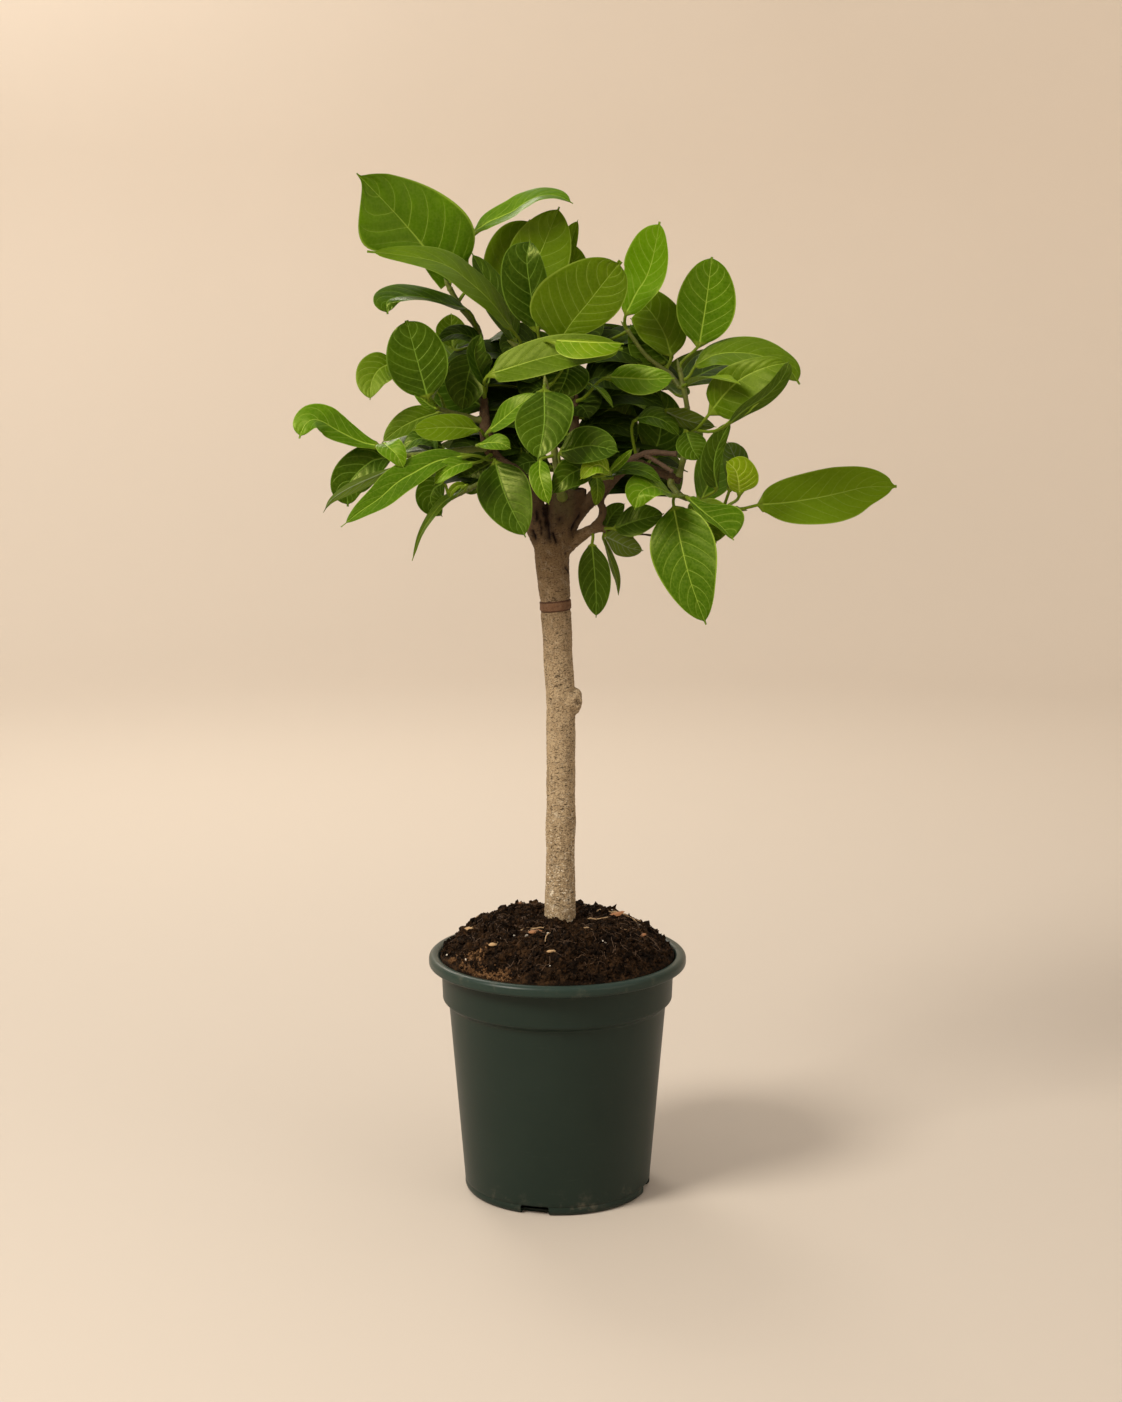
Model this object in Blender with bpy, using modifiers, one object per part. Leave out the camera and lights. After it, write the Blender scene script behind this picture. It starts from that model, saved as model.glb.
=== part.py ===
"""Potted council tree (Ficus altissima) grown as a small standard in a nursery pot.

Metres, +Z up. The origin is on the pot's axis at the floor it stands on, and -Y is the front.
The pot, the soil, the woody trunk with its limbs, each green shoot and each leaf is a node.
"""
import math

import bmesh
import bpy
from mathutils import Vector

for old in list(bpy.data.objects):
    bpy.data.objects.remove(old, do_unlink=True)

MM = 0.001

# Pot, in millimetres
POT_HEIGHT = 245.0
LIP_RADIUS = 130.0
MOUTH_RADIUS = 119.0
COLLAR_RADIUS = 116.8
COLLAR_FOOT = 199.0
BODY_TOP_RADIUS = 109.4
FOOT_RADIUS = 94.8
BODY_TOP = 188.0
WALL = 2.0
FLOOR = 3.0
MOUTH_FOOT = 237.0
COLLAR_TOP = 233.0
COLLAR_INNER_TOP = 231.0
COLLAR_DRAFT = 0.6
INNER_FOOT_ROUND = 6.0
# Rolled lip: (radius from its rim, height from the top of the pot)
LIP_OUTLINE = ((-11.0, -4.5), (-9.4, -1.3), (-6.5, 0.0), (-3.0, -0.6), (-0.6, -3.4), (0.0, -7.0),
               (-1.4, -10.5), (-4.0, -11.5))
# Shoulder under the collar: (radius from the body's top, height from the collar's foot)
SHOULDER_OUTLINE = ((6.8, 1.0), (4.4, -3.5), (0.9, -7.0))
INNER_SHOULDER = ((1.5, -5.0), (0.0, -10.0))
INNER_COLLAR_RISE = 3.0
# Foot: (radius from the foot's, height)
FOOT_OUTLINE = ((0.0, 12.0), (-0.6, 6.0), (-2.4, 1.8), (-5.4, 0.0))
POT_STEPS = 44

# Four drain slots at the foot
SLOT_COUNT = 4
SLOT_FIRST_ANGLE = -104.0
SLOT_WIDTH = 29.0
SLOT_HEIGHT = 9.5
SLOT_INNER_RADIUS = 84.0
SLOT_BELOW = 5.0
SOIL_SLOT_RADIUS = 80.0
SOIL_SLOT_WIDTH = 31.0
SOIL_SLOT_HEIGHT = 12.0

# Soil
SOIL_EDGE = 241.5
SOIL_CROWN = 282.0
# (distance from the axis, drop below the crown): a dome with a shallow hollow round the trunk
SOIL_TOP = ((0, 7.5), (18, 7.0), (34, 5.0), (50, 4.2), (64, 6.0), (76, 10.0), (90, 17.0), (106, 28.0))

# Plant
GAP = 0.3
PETIOLE_RADIUS = 1.5
BLADE_THICKNESS = 1.0
SHOOT_BEVEL_STEPS = 2
WOOD_BEVEL_STEPS = 4
SPAN_STEPS = 2
SEAT_STEPS = 8
MERGE_DISTANCE = 0.00001

# Places on the plant are laid out as an elevation seen from this point: x and z are read on
# the plane through the trunk, and the depth y slides a point along its line of sight.
EYE = Vector((3.6, -2335.0, 895.0))
PLANT_SCALE = 1.0075
SCALE_CENTRE = Vector((0.0, 0.0, 386.0))


def place(point):
    """A point (x, z, y) of the elevation as a place in millimetres."""
    x, z, y = point
    on_plane = SCALE_CENTRE + (Vector((x, 0.0, z)) - SCALE_CENTRE) * PLANT_SCALE
    return EYE + (on_plane - EYE) * ((y - EYE.y) / -EYE.y)


# Wood: (x, z, y, radius) along each limb of the one grown piece
TRUNK = ((3, 205, 0, 17), (3, 240, 0, 17.5), (3, 282, 0, 15.6), (3, 330, 0, 14.6), (3.5, 480, 0, 14.3),
         (0.5, 550, 0, 14.2), (-2, 600, 0, 14.8), (-5, 640, 0, 17), (-4, 658, 0, 18), (1, 674, 1, 14.5),
         (4, 689, 2, 15.5), (8, 703, 2, 18.5), (9, 711, 2, 19))
KNOT = ((6, 500, 0, 14), (14, 501, -1, 14), (20, 502, -2, 12), (24, 502, -2, 7))
LIMBS = {
    "limb_left": ((-10, 650, 0, 10), (-21, 672, -3, 10.5), (-24, 700, -5, 10.5), (-42, 724, -6, 8),
                  (-60, 740, -6, 6.5), (-69, 762, -3, 5.5), (-71, 800, 6, 4)),
    "limb_right": ((0, 652, 0, 9), (15, 678, -1, 7), (31, 697, -2, 6.6), (50, 718, -4, 6.4),
                   (74, 734, -6, 5.5), (94, 728, -8, 5), (120, 718, -12, 4)),
    "limb_low": ((2, 647, -2, 8), (10, 654, -4, 7), (22, 664, -7, 6), (34, 671, -8, 4.6), (46, 671, -9, 3.4),
                 (61, 667, -10, 2.8), (75, 664, -11, 2.2)),
    "limb_low_rise": ((32, 669, -8, 4.4), (42, 681, -8, 4), (44, 690, -7, 3.6), (42, 698, -6, 3.4),
                      (48, 709, -2, 3.2), (57, 720, 2, 3)),
    "leader": ((8, 695, 4, 10), (13, 730, 6, 7), (17, 775, 8, 4.5), (15, 810, 10, 4), (4, 842, 12, 3.4),
               (-3, 868, 16, 2.8)),
}

# Green shoots: (carrier, place on the carrier, then x, z, y, radius along the shoot)
SHOOTS = {
    "shoot_top_left": ("limb_left", (-71, 795), ((-73, 828, 18, 3.6), (-76, 862, 20, 3.2),
                                                 (-93, 885, 16, 2.8), (-103, 902, 12, 2.5))),
    "shoot_left": ("limb_left", (-66, 752), ((-88, 748, -22, 3.2), (-118, 745, -38, 2.9),
                                             (-150, 742, -48, 2.4))),
    "shoot_left_high": ("limb_left", (-70, 776), ((-86, 780, -4, 2.8), (-103, 784, -12, 2.5),
                                                  (-116, 788, -18, 2.2))),
    "shoot_young": ("limb_left", (-50, 730), ((-68, 719, -12, 2.8), (-86, 710, -20, 2.5),
                                              (-106, 700, -26, 2.2))),
    "shoot_top": ("leader", (16, 800), ((2, 816, 2, 3.0), (-20, 834, -4, 2.8), (-39, 847, -8, 2.4))),
    "shoot_right": ("limb_right", (117, 719), ((122, 738, -14, 3.0), (127, 763, -14, 2.8),
                                               (126, 786, -10, 2.6), (121, 812, -8, 2.4),
                                               (118, 825, -6, 2.2))),
    "shoot_right_top": ("shoot_right", (122, 808), ((109, 821, 4, 2.2), (86, 838, 8, 2.1),
                                                    (68, 862, 8, 2.0))),
    "shoot_right_low": ("limb_right", (112, 721), ((118, 704, -20, 2.9), (136, 698, -24, 2.7),
                                                   (156, 694, -22, 2.4), (174, 691, -18, 2.2))),
    "shoot_front": ("trunk", (6, 704), ((2, 716, -44, 4.2), (-2, 742, -62, 3.6), (-8, 780, -70, 3.0),
                                        (-11, 808, -74, 2.6))),
    "shoot_back": ("leader", (13, 728), ((16, 742, 42, 4.2), (14, 775, 84, 3.8), (8, 822, 108, 3.2),
                                         (2, 850, 118, 2.8))),
    "shoot_back_left": ("limb_left", (-46, 726), ((-62, 738, 30, 3.8), (-86, 768, 68, 3.4),
                                                  (-104, 806, 90, 3.0), (-110, 832, 98, 2.6))),
    "shoot_back_right": ("limb_right", (66, 729), ((72, 740, 30, 3.8), (84, 768, 68, 3.4),
                                                   (98, 806, 90, 3.0), (100, 832, 98, 2.6))),
}

# Stations along a stalk and along a blade, as shares of their lengths
STALK_STATIONS = (0.0, 0.3, 0.65)
LEAF_STATIONS = (0.0, 0.07, 0.20, 0.40, 0.60, 0.79, 0.93, 1.0)
LEAF_ROUNDNESS = 0.62
BLADE_END = 0.002
HEADING_STEP = 0.01
RING_POINTS = 8
# Section of a blade: share of the half width from the midrib, share of the thickness above it
BLADE_SECTION = ((-1, 0), (-0.5, 0.5), (0, 0.5), (0.5, 0.5), (1, 0), (0.5, -0.5), (0, -0.5), (-0.5, -0.5))

# Leaves: carrier, place on it, midrib from base to tip, width, direction that the upper face
# looks in, share of the length at which the blade is widest, fold and twist in degrees, finish
LEAVES = {
    "leaf_top_left_1": ("shoot_top_left", (-103, 902), ((-103, 909, 14), (-122, 934, 4), (-144, 961, -6),
                        (-167, 986, -18), (-191, 1010, -30)), 104, (0.2, -0.95, 0.2), 0.36, 6, 0,
                        "leaf_bright"),
    "leaf_top_left_2": ("shoot_top", (-37, 846), ((-46, 866, -22), (-58, 883, -28), (-70, 896, -34),
                        (-84, 908, -40), (-99, 920, -45), (-118, 928, -48), (-146, 933, -50),
                        (-182, 937, -52)), 46, (0.57, -0.5, 0.65), 0.45, 6, 0, "leaf_olive"),
    "leaf_top_left_3": ("shoot_top_left", (-77, 864), ((-89, 883, -8), (-106, 888, -14), (-125, 893, -22),
                        (-144, 895, -30), (-158, 893, -36), (-164, 888, -42), (-163, 878, -46)), 42,
                        (0, -0.4, 0.92), 0.45, 10, 0, "leaf_dark"),
    "leaf_top_left_4": ("shoot_top_left", (-96, 890), ((-77, 957, 34), (-65, 965, 34), (-44, 974, 32),
                        (-32, 982, 30), (-17, 989, 28), (0, 989, 25), (15, 982, 22)), 36,
                        (-0.3, -0.5, 0.82), 0.5, 10, 25, "leaf_bright"),
    "leaf_crown_1": ("leader", (-3, 868), ((-36, 890, 27), (-24, 918, 32), (-11, 948, 38), (2, 979, 42)),
                     60, (0.1, -0.97, 0.1), 0.5, 8, 0, "leaf_olive"),
    "leaf_crown_2": ("shoot_top", (-30, 841), ((-42, 854, 6), (-60, 894, 10), (-82, 936, 14)),
                     42, (0.65, -0.7, 0.3), 0.45, 10, 0, "leaf_dark"),
    "leaf_crown_3": ("shoot_top", (-20, 834), ((-20, 866, -24), (-25, 895, -27), (-29, 928, -30),
                     (-26, 948, -24)), 46, (-0.1, -0.95, 0.25), 0.45, 10, 0, "leaf_dark"),
    "leaf_crown_4": ("leader", (6, 840), ((2, 852, -40), (14, 870, -46), (29, 888, -52), (44, 907, -56),
                     (61, 928, -58)), 82, (0.1, -0.98, 0.1), 0.45, 6, 0, "leaf_olive"),
    "leaf_crown_5": ("shoot_right_top", (68, 862), ((67, 880, -4), (76, 898, -8), (85, 912, -12),
                     (91, 929, -16), (95, 948, -20), (98, 965, -24)), 54, (-0.4, -0.86, 0.31), 0.45, 8, 0,
                     "leaf_bright"),
    "leaf_right_1": ("shoot_right_top", (104, 825), ((109, 840, 10), (104, 857, 14), (95, 873, 18),
                     (83, 887, 22), (72, 890, 26)), 48, (0.2, -0.95, 0.1), 0.45, 8, 0, "leaf_olive"),
    "leaf_right_2": ("shoot_right", (118, 825), ((137, 851, -8), (143, 890, -8), (148, 932, -6)),
                     57, (0.05, -0.99, 0.1), 0.47, 6, 0, "leaf_bright"),
    "leaf_right_3": ("shoot_right", (120, 815), ((135, 830, -10), (149, 838, -14), (163, 841, -18),
                     (178, 841, -22), (193, 839, -26), (208, 834, -29), (223, 826, -32), (234, 811, -35)),
                     50, (0, -0.66, 0.75), 0.5, 10, 0, "leaf_olive"),
    "leaf_right_4": ("shoot_right", (127, 765), ((151, 788, -62), (161, 801, -72), (177, 816, -80),
                     (200, 827, -88), (223, 832, -92)), 50, (-0.2, -0.88, 0.42), 0.42, 8, 0, "leaf_olive"),
    "leaf_right_5": ("shoot_right_low", (140, 697), ((155, 712, -38), (152, 729, -44), (154, 746, -46),
                     (160, 761, -48), (168, 775, -48)), 27, (0.1, -0.98, 0.1), 0.4, 8, 0, "leaf_dark"),
    "leaf_right_6": ("shoot_right_low", (174, 691), ((199, 695, -18), (224, 697, -18), (255, 702, -17),
                     (278, 707, -15), (301, 712, -13), (330, 712, -12)), 54, (0.0, -0.95, 0.3), 0.5, 6, 0,
                     "leaf_olive"),
    "leaf_right_7": ("shoot_right_low", (128, 700), ((128, 700, -46), (142, 688, -54), (158, 675, -62),
                     (172, 660, -70)), 38, (0.3, -0.75, 0.6), 0.5, 12, 0, "leaf_bright"),
    "leaf_right_8": ("shoot_right_low", (118, 705), ((114, 690, -42), (121, 656, -56), (131, 618, -68),
                     (146, 577, -78)), 67, (-0.42, -0.84, 0.34), 0.4, 10, 0, "leaf_bright"),
    "leaf_right_9": ("limb_low", (34, 668), ((34, 655, -14), (36, 635, -12), (38, 608, -11),
                     (38, 584, -10)), 33, (-0.3, -0.95, 0), 0.48, 8, 0, "leaf_dark"),
    "leaf_right_10": ("limb_low", (48, 674), ((57, 672, -22), (80, 680, -30), (104, 686, -33)),
                      34, (0.0, -0.8, 0.6), 0.45, 8, 0, "leaf_dark"),
    "leaf_right_11": ("shoot_right_low", (122, 702), ((110, 705, -54), (94, 712, -68), (81, 707, -78),
                      (75, 690, -82)), 38, (0.1, -0.6, 0.8), 0.45, 14, 0, "leaf_bright"),
    "leaf_left_1": ("limb_left", (-69, 762), ((-78, 768, -28), (-107, 770, -38), (-140, 767, -46)),
                    33, (0.0, -0.84, 0.54), 0.42, 10, 0, "leaf_olive"),
    "leaf_left_2": ("shoot_left_high", (-104, 785), ((-116, 784, 2), (-134, 778, -2), (-152, 769, -6),
                    (-170, 755, -12)), 29, (-0.1, -0.8, 0.5), 0.45, 10, 0, "leaf_olive"),
    "leaf_left_3": ("shoot_left", (-150, 742), ((-176, 752, -60), (-191, 756, -61), (-206, 763, -63),
                    (-217, 769, -65), (-227, 775, -68), (-237, 777, -71), (-245, 771, -73),
                    (-250, 759, -76)), 38, (0.05, -0.7, 0.7), 0.5, 10, -15, "leaf_bright"),
    "leaf_left_4": ("shoot_left", (-140, 743), ((-155, 732, -66), (-172, 724, -72), (-191, 716, -78),
                    (-207, 708, -82), (-220, 699, -86), (-228, 687, -90)), 15, (0.2, 0.75, -0.6), 0.45, 10,
                    0, "leaf_olive"),
    "leaf_left_5": ("limb_left", (-60, 740), ((-92, 742, -72), (-117, 737, -84), (-139, 726, -94),
                    (-156, 716, -102), (-173, 701, -112), (-192, 688, -122), (-211, 673, -132)), 45,
                    (0.1, -0.78, 0.62), 0.5, 10, 0, "leaf_bright"),
    "leaf_left_6": ("shoot_left_high", (-116, 788), ((-126, 801, -34), (-135, 834, -36), (-145, 872, -34)),
                    58, (0.0, -0.99, 0.1), 0.5, 6, 0, "leaf_dark"),
    "leaf_left_7": ("shoot_left_high", (-108, 786), ((-158, 832, 0), (-171, 826, -6), (-179, 814, -12),
                    (-181, 796, -20)), 38, (-0.2, -0.9, 0.35), 0.45, 8, 0, "leaf_olive"),
    "leaf_left_8": ("shoot_top_left", (-73, 832), ((-80, 840, 4), (-87, 815, -2), (-92, 786, -8)),
                    46, (-0.1, -0.95, 0.3), 0.45, 12, 0, "leaf_dark"),
    "leaf_left_9": ("shoot_young", (-98, 704), ((-92, 711, -40), (-102, 704, -42), (-113, 695, -44),
                    (-124, 681, -45), (-134, 664, -46), (-142, 640, -47)), 19, (-0.75, -0.45, 0.45), 0.4,
                    8, 0, "leaf_olive"),
    "leaf_front_1": ("limb_left", (-56, 737), ((-60, 734, -44), (-50, 702, -62), (-31, 663, -78)),
                     51, (-0.05, -0.9, 0.42), 0.45, 8, 0, "leaf_dark"),
    "leaf_front_2": ("shoot_front", (-11, 808), ((-13, 804, -92), (-13, 772, -106), (-19, 738, -118)),
                     59, (0.0, -0.88, 0.47), 0.42, 8, 0, "leaf_dark"),
    "leaf_front_3": ("limb_left", (-71, 798), ((-61, 822, -50), (-39, 829, -56), (-15, 836, -60),
                     (9, 841, -64), (36, 844, -68), (63, 845, -70)), 40, (-0.15, -0.85, 0.5), 0.42, 8, 0,
                     "leaf_olive"),
    "leaf_front_4": ("leader", (16, 795), ((52, 818, -34), (70, 817, -44), (89, 816, -52),
                     (113, 817, -58)), 33, (-0.36, -0.84, 0.40), 0.45, 8, 0, "leaf_bright"),
    "leaf_front_5": ("shoot_front", (0, 735), ((4, 746, -76), (32, 752, -86), (60, 746, -92)),
                     40, (0.0, -0.85, 0.5), 0.45, 8, 0, "leaf_dark"),
    "leaf_back_1": ("shoot_back", (2, 850), ((-4, 864, 132), (-14, 900, 150), (-24, 926, 160)),
                    62, (-0.1, 0.9, 0.4), 0.45, 8, 0, "leaf_dark"),
    "leaf_back_2": ("shoot_back", (12, 790), ((36, 806, 112), (60, 800, 142), (78, 778, 168)),
                    60, (0.3, 0.7, 0.6), 0.45, 8, 0, "leaf_bright"),
    "leaf_back_3": ("shoot_back", (14, 775), ((-12, 788, 108), (-32, 778, 140), (-52, 752, 168)),
                    62, (-0.3, 0.7, 0.6), 0.45, 8, 0, "leaf_dark"),
    "leaf_back_4": ("shoot_back_left", (-110, 832), ((-116, 838, 112), (-132, 848, 140), (-144, 846, 168)),
                    54, (-0.1, 0.3, 0.95), 0.45, 10, 0, "leaf_bright"),
    "leaf_back_5": ("shoot_back_left", (-92, 780), ((-100, 786, 92), (-118, 770, 118), (-130, 742, 142)),
                    56, (-0.4, 0.7, 0.6), 0.45, 8, 0, "leaf_dark"),
    "leaf_back_6": ("shoot_back_right", (100, 832), ((98, 846, 110), (95, 870, 135), (92, 886, 158)),
                    54, (0.1, 0.75, 0.6), 0.45, 8, 0, "leaf_dark"),
    "leaf_back_7": ("shoot_back_right", (90, 780), ((104, 780, 92), (116, 765, 118), (124, 736, 140)),
                    56, (0.4, 0.7, 0.6), 0.45, 8, 0, "leaf_bright"),
}


def material(name, colour, roughness):
    finish = bpy.data.materials.new(name)
    finish.use_nodes = True
    shader = finish.node_tree.nodes["Principled BSDF"]
    shader.inputs["Base Color"].default_value = (*colour, 1.0)
    shader.inputs["Roughness"].default_value = roughness
    shader.inputs["Metallic"].default_value = 0.0
    return finish


def collection(name):
    made = bpy.data.collections.new(name)
    bpy.context.scene.collection.children.link(made)
    return made


PARTS = collection("potted_council_tree")
CUTTERS = collection("cutters")
FINISHES = {
    "pot_plastic": material("pot_plastic", (0.026, 0.052, 0.042), 0.45),
    "potting_soil": material("potting_soil", (0.035, 0.019, 0.011), 0.95),
    "bark": material("bark", (0.27, 0.20, 0.13), 0.85),
    "green_shoot": material("green_shoot", (0.16, 0.15, 0.05), 0.6),
    "leaf_dark": material("leaf_dark", (0.035, 0.11, 0.015), 0.32),
    "leaf_bright": material("leaf_bright", (0.09, 0.24, 0.015), 0.36),
    "leaf_olive": material("leaf_olive", (0.14, 0.23, 0.012), 0.5),
}


def add_object(name, data, finish):
    made = bpy.data.objects.new(name, data)
    made.data.materials.append(FINISHES[finish])
    PARTS.objects.link(made)
    return made


def make_cutter(cutter):
    for home in list(cutter.users_collection):
        home.objects.unlink(cutter)
    CUTTERS.objects.link(cutter)
    cutter.hide_render = True
    cutter.display_type = "WIRE"


def boolean(target, cutter, operation):
    make_cutter(cutter)
    modifier = target.modifiers.new(cutter.name, "BOOLEAN")
    modifier.operation = operation
    modifier.solver = "EXACT"
    modifier.object = cutter


def turned(name, profile, finish):
    """A turned solid from a profile (radius, height) that starts and ends on the axis."""
    mesh = bpy.data.meshes.new(name)
    corners = [(radius * MM, 0.0, height * MM) for radius, height in profile]
    mesh.from_pydata(corners, [(i, i + 1) for i in range(len(corners) - 1)], [])
    made = add_object(name, mesh, finish)
    screw = made.modifiers.new("turn", "SCREW")
    screw.steps = POT_STEPS
    screw.render_steps = POT_STEPS
    screw.use_merge_vertices = True
    screw.merge_threshold = MERGE_DISTANCE
    return made


def inner_wall(gap):
    """The inside of the pot from under the mouth to the axis, gap clear of the wall."""
    body, foot, collar = [radius - WALL - gap for radius in (BODY_TOP_RADIUS, FOOT_RADIUS, COLLAR_RADIUS)]
    shoulder = [(body + out, COLLAR_FOOT + up) for out, up in INNER_SHOULDER]
    above = [(collar + COLLAR_DRAFT, COLLAR_INNER_TOP),
             (collar - COLLAR_DRAFT, COLLAR_FOOT + INNER_COLLAR_RISE)]
    below = [(foot, FLOOR + gap + INNER_FOOT_ROUND), (foot - INNER_FOOT_ROUND, FLOOR + gap), (0, FLOOR + gap)]
    return above + shoulder + below


def make_pot():
    inside = inner_wall(0)[::-1] + [(MOUTH_RADIUS, MOUTH_FOOT)]
    lip = [(LIP_RADIUS + out, POT_HEIGHT + up) for out, up in LIP_OUTLINE]
    shoulder = [(BODY_TOP_RADIUS + out, COLLAR_FOOT + up) for out, up in SHOULDER_OUTLINE]
    foot = [(FOOT_RADIUS + out, up) for out, up in FOOT_OUTLINE]
    outside = ([(COLLAR_RADIUS + COLLAR_DRAFT, COLLAR_TOP)] + shoulder + [(BODY_TOP_RADIUS, BODY_TOP)]
               + foot + [(0, 0)])
    pot = turned("pot", inside + lip + outside, "pot_plastic")
    for index in range(SLOT_COUNT):
        boolean(pot, slot_cutter("slot", index, SLOT_INNER_RADIUS, SLOT_WIDTH, SLOT_HEIGHT), "DIFFERENCE")
    return pot


def slot_cutter(name, index, inner_radius, width, height):
    """A box that cuts one drain slot out of the foot, from inner_radius outwards."""
    angle = math.radians(SLOT_FIRST_ANGLE + index * 360.0 / SLOT_COUNT)
    length = LIP_RADIUS - inner_radius
    middle = inner_radius + length / 2
    bpy.ops.mesh.primitive_cube_add(size=1.0)
    cutter = bpy.context.object
    cutter.name = f"{name}_cutter_{index + 1}"
    cutter.scale = (length * MM, width * MM, (height + SLOT_BELOW) * MM)
    cutter.rotation_euler.z = angle
    cutter.location = (middle * math.cos(angle) * MM, middle * math.sin(angle) * MM,
                       (height - SLOT_BELOW) / 2 * MM)
    return cutter


def make_soil():
    crown = [(radius, SOIL_CROWN - drop) for radius, drop in SOIL_TOP]
    edge = [(MOUTH_RADIUS - GAP, SOIL_EDGE), (MOUTH_RADIUS - GAP, MOUTH_FOOT)]
    soil = turned("soil", crown + edge + inner_wall(GAP), "potting_soil")
    for index in range(SLOT_COUNT):
        cutter = slot_cutter("soil_slot", index, SOIL_SLOT_RADIUS, SOIL_SLOT_WIDTH, SOIL_SLOT_HEIGHT)
        boolean(soil, cutter, "DIFFERENCE")
    buried = [(x, z, y, radius + GAP) for x, z, y, radius in TRUNK[:4]]
    x, z, y, radius = buried[0]
    buried[0] = (x, z - GAP, y, radius)
    hole = tube_mesh("trunk_hole", smooth(buried), "bark", WOOD_BEVEL_STEPS)
    boolean(soil, hole, "DIFFERENCE")
    return soil


def smooth(points, steps=SPAN_STEPS):
    """Points (place, radius) along a smooth curve through the given (x, z, y, radius)."""
    known = [(place(point[:3]), point[3]) for point in points]
    before = (known[0][0] * 2 - known[1][0], known[0][1])
    after = (known[-1][0] * 2 - known[-2][0], known[-1][1])
    known = [before] + known + [after]
    path = []
    for i in range(1, len(known) - 2):
        (a, _), (b, rb), (c, rc), (d, _) = known[i - 1:i + 3]
        for step in range(steps):
            t = step / steps
            spot = 0.5 * (2 * b + (c - a) * t + (2 * a - 5 * b + 4 * c - d) * t ** 2
                          + (3 * b - a - 3 * c + d) * t ** 3)
            path.append((spot, rb + (rc - rb) * t))
    path.append(known[-2])
    return path


def tube(name, path, finish, sides):
    """A round tube of changing radius with closed ends, as a curve."""
    curve = bpy.data.curves.new(name, "CURVE")
    curve.dimensions = "3D"
    curve.bevel_depth = MM
    curve.bevel_resolution = sides
    curve.use_fill_caps = True
    spline = curve.splines.new("POLY")
    spline.points.add(len(path) - 1)
    for point, (spot, radius) in zip(spline.points, path):
        point.co = (*(spot * MM), 1.0)
        point.radius = radius
    return add_object(name, curve, finish)


def tube_mesh(name, path, finish, sides):
    """The same tube as a closed mesh, for cutting and joining."""
    source = tube(name + "_line", path, finish, sides)
    bpy.context.view_layer.update()
    evaluated = source.evaluated_get(bpy.context.evaluated_depsgraph_get())
    mesh = bpy.data.meshes.new_from_object(evaluated)
    shell = bmesh.new()
    shell.from_mesh(mesh)
    bmesh.ops.remove_doubles(shell, verts=shell.verts, dist=MERGE_DISTANCE)
    bmesh.ops.recalc_face_normals(shell, faces=shell.faces)
    shell.to_mesh(mesh)
    shell.free()
    made = bpy.data.objects.new(name, mesh)
    made.matrix_world = source.matrix_world
    PARTS.objects.link(made)
    bpy.data.objects.remove(source, do_unlink=True)
    return made


def make_trunk():
    """Trunk, pruning knot, limbs and leader, which grew as one piece of wood."""
    trunk = tube_mesh("trunk", smooth(TRUNK), "bark", WOOD_BEVEL_STEPS)
    grown = {"knot": KNOT, **LIMBS}
    for name, points in grown.items():
        boolean(trunk, tube_mesh(name, smooth(points), "bark", WOOD_BEVEL_STEPS), "UNION")
    return trunk


def carrier_seat(path, hint, target):
    """Where a stalk leaves a carrier: a point just off its bark and the way out of it.

    hint is the (x, z) of the joint in the elevation, and target is where the stalk heads.
    """
    best, closest = None, 1e9
    for i in range(len(path) - 1):
        (a, ra), (b, rb) = path[i], path[i + 1]
        for step in range(SEAT_STEPS + 1):
            t = step / SEAT_STEPS
            spot = a.lerp(b, t)
            wanted = place((*hint, spot.y))
            distance = (spot - wanted).length
            if distance < closest - 1e-6:
                closest = distance
                at_end = i == len(path) - 2 and step == SEAT_STEPS
                best = (spot, ra + (rb - ra) * t, (b - a).normalized(), at_end)
    spot, radius, along, at_end = best
    if at_end:
        return spot + along * GAP, along
    outward = target - spot
    outward = (outward - along * outward.dot(along)).normalized()
    return spot + outward * (radius + GAP), outward


def make_shoot(name, carrier, hint, points):
    first = place(points[0][:3])
    seat, outward = carrier_seat(PATHS[carrier], hint, first)
    radius = points[0][3]
    run = smooth(points)
    path = [(seat, radius), (seat + outward * radius, radius)] + run
    PATHS[name] = path
    return tube(name, path, "green_shoot", SHOOT_BEVEL_STEPS)


def bezier(a, b, c, d, t):
    s = 1 - t
    return a * s ** 3 + b * 3 * s * s * t + c * 3 * s * t * t + d * t ** 3


def ring_on(centre, normal, across, radius):
    """Points round a stalk, starting at -across and running over the upper side."""
    up = across.cross(normal).normalized()
    points = []
    for i in range(RING_POINTS):
        angle = math.pi - i * math.tau / RING_POINTS
        points.append(centre + across * radius * math.cos(angle) + up * radius * math.sin(angle))
    return points


def blade_share(t, widest):
    """Half width of a blade at the share t of its length, as a share of its greatest half width."""
    stretched = max(t, BLADE_END) ** (math.log(0.5) / math.log(widest))
    return math.sin(math.pi * min(stretched, 1.0 - BLADE_END)) ** LEAF_ROUNDNESS


def curve_through(spots, t):
    """The place at the share t of a smooth curve through spots."""
    spots = [spots[0] * 2 - spots[1]] + spots + [spots[-1] * 2 - spots[-2]]
    spans = len(spots) - 3
    i = min(int(t * spans), spans - 1)
    s = t * spans - i
    a, b, c, d = spots[i:i + 4]
    return 0.5 * (2 * b + (c - a) * s + (2 * a - 5 * b + 4 * c - d) * s ** 2
                  + (3 * b - a - 3 * c + d) * s ** 3)


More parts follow.
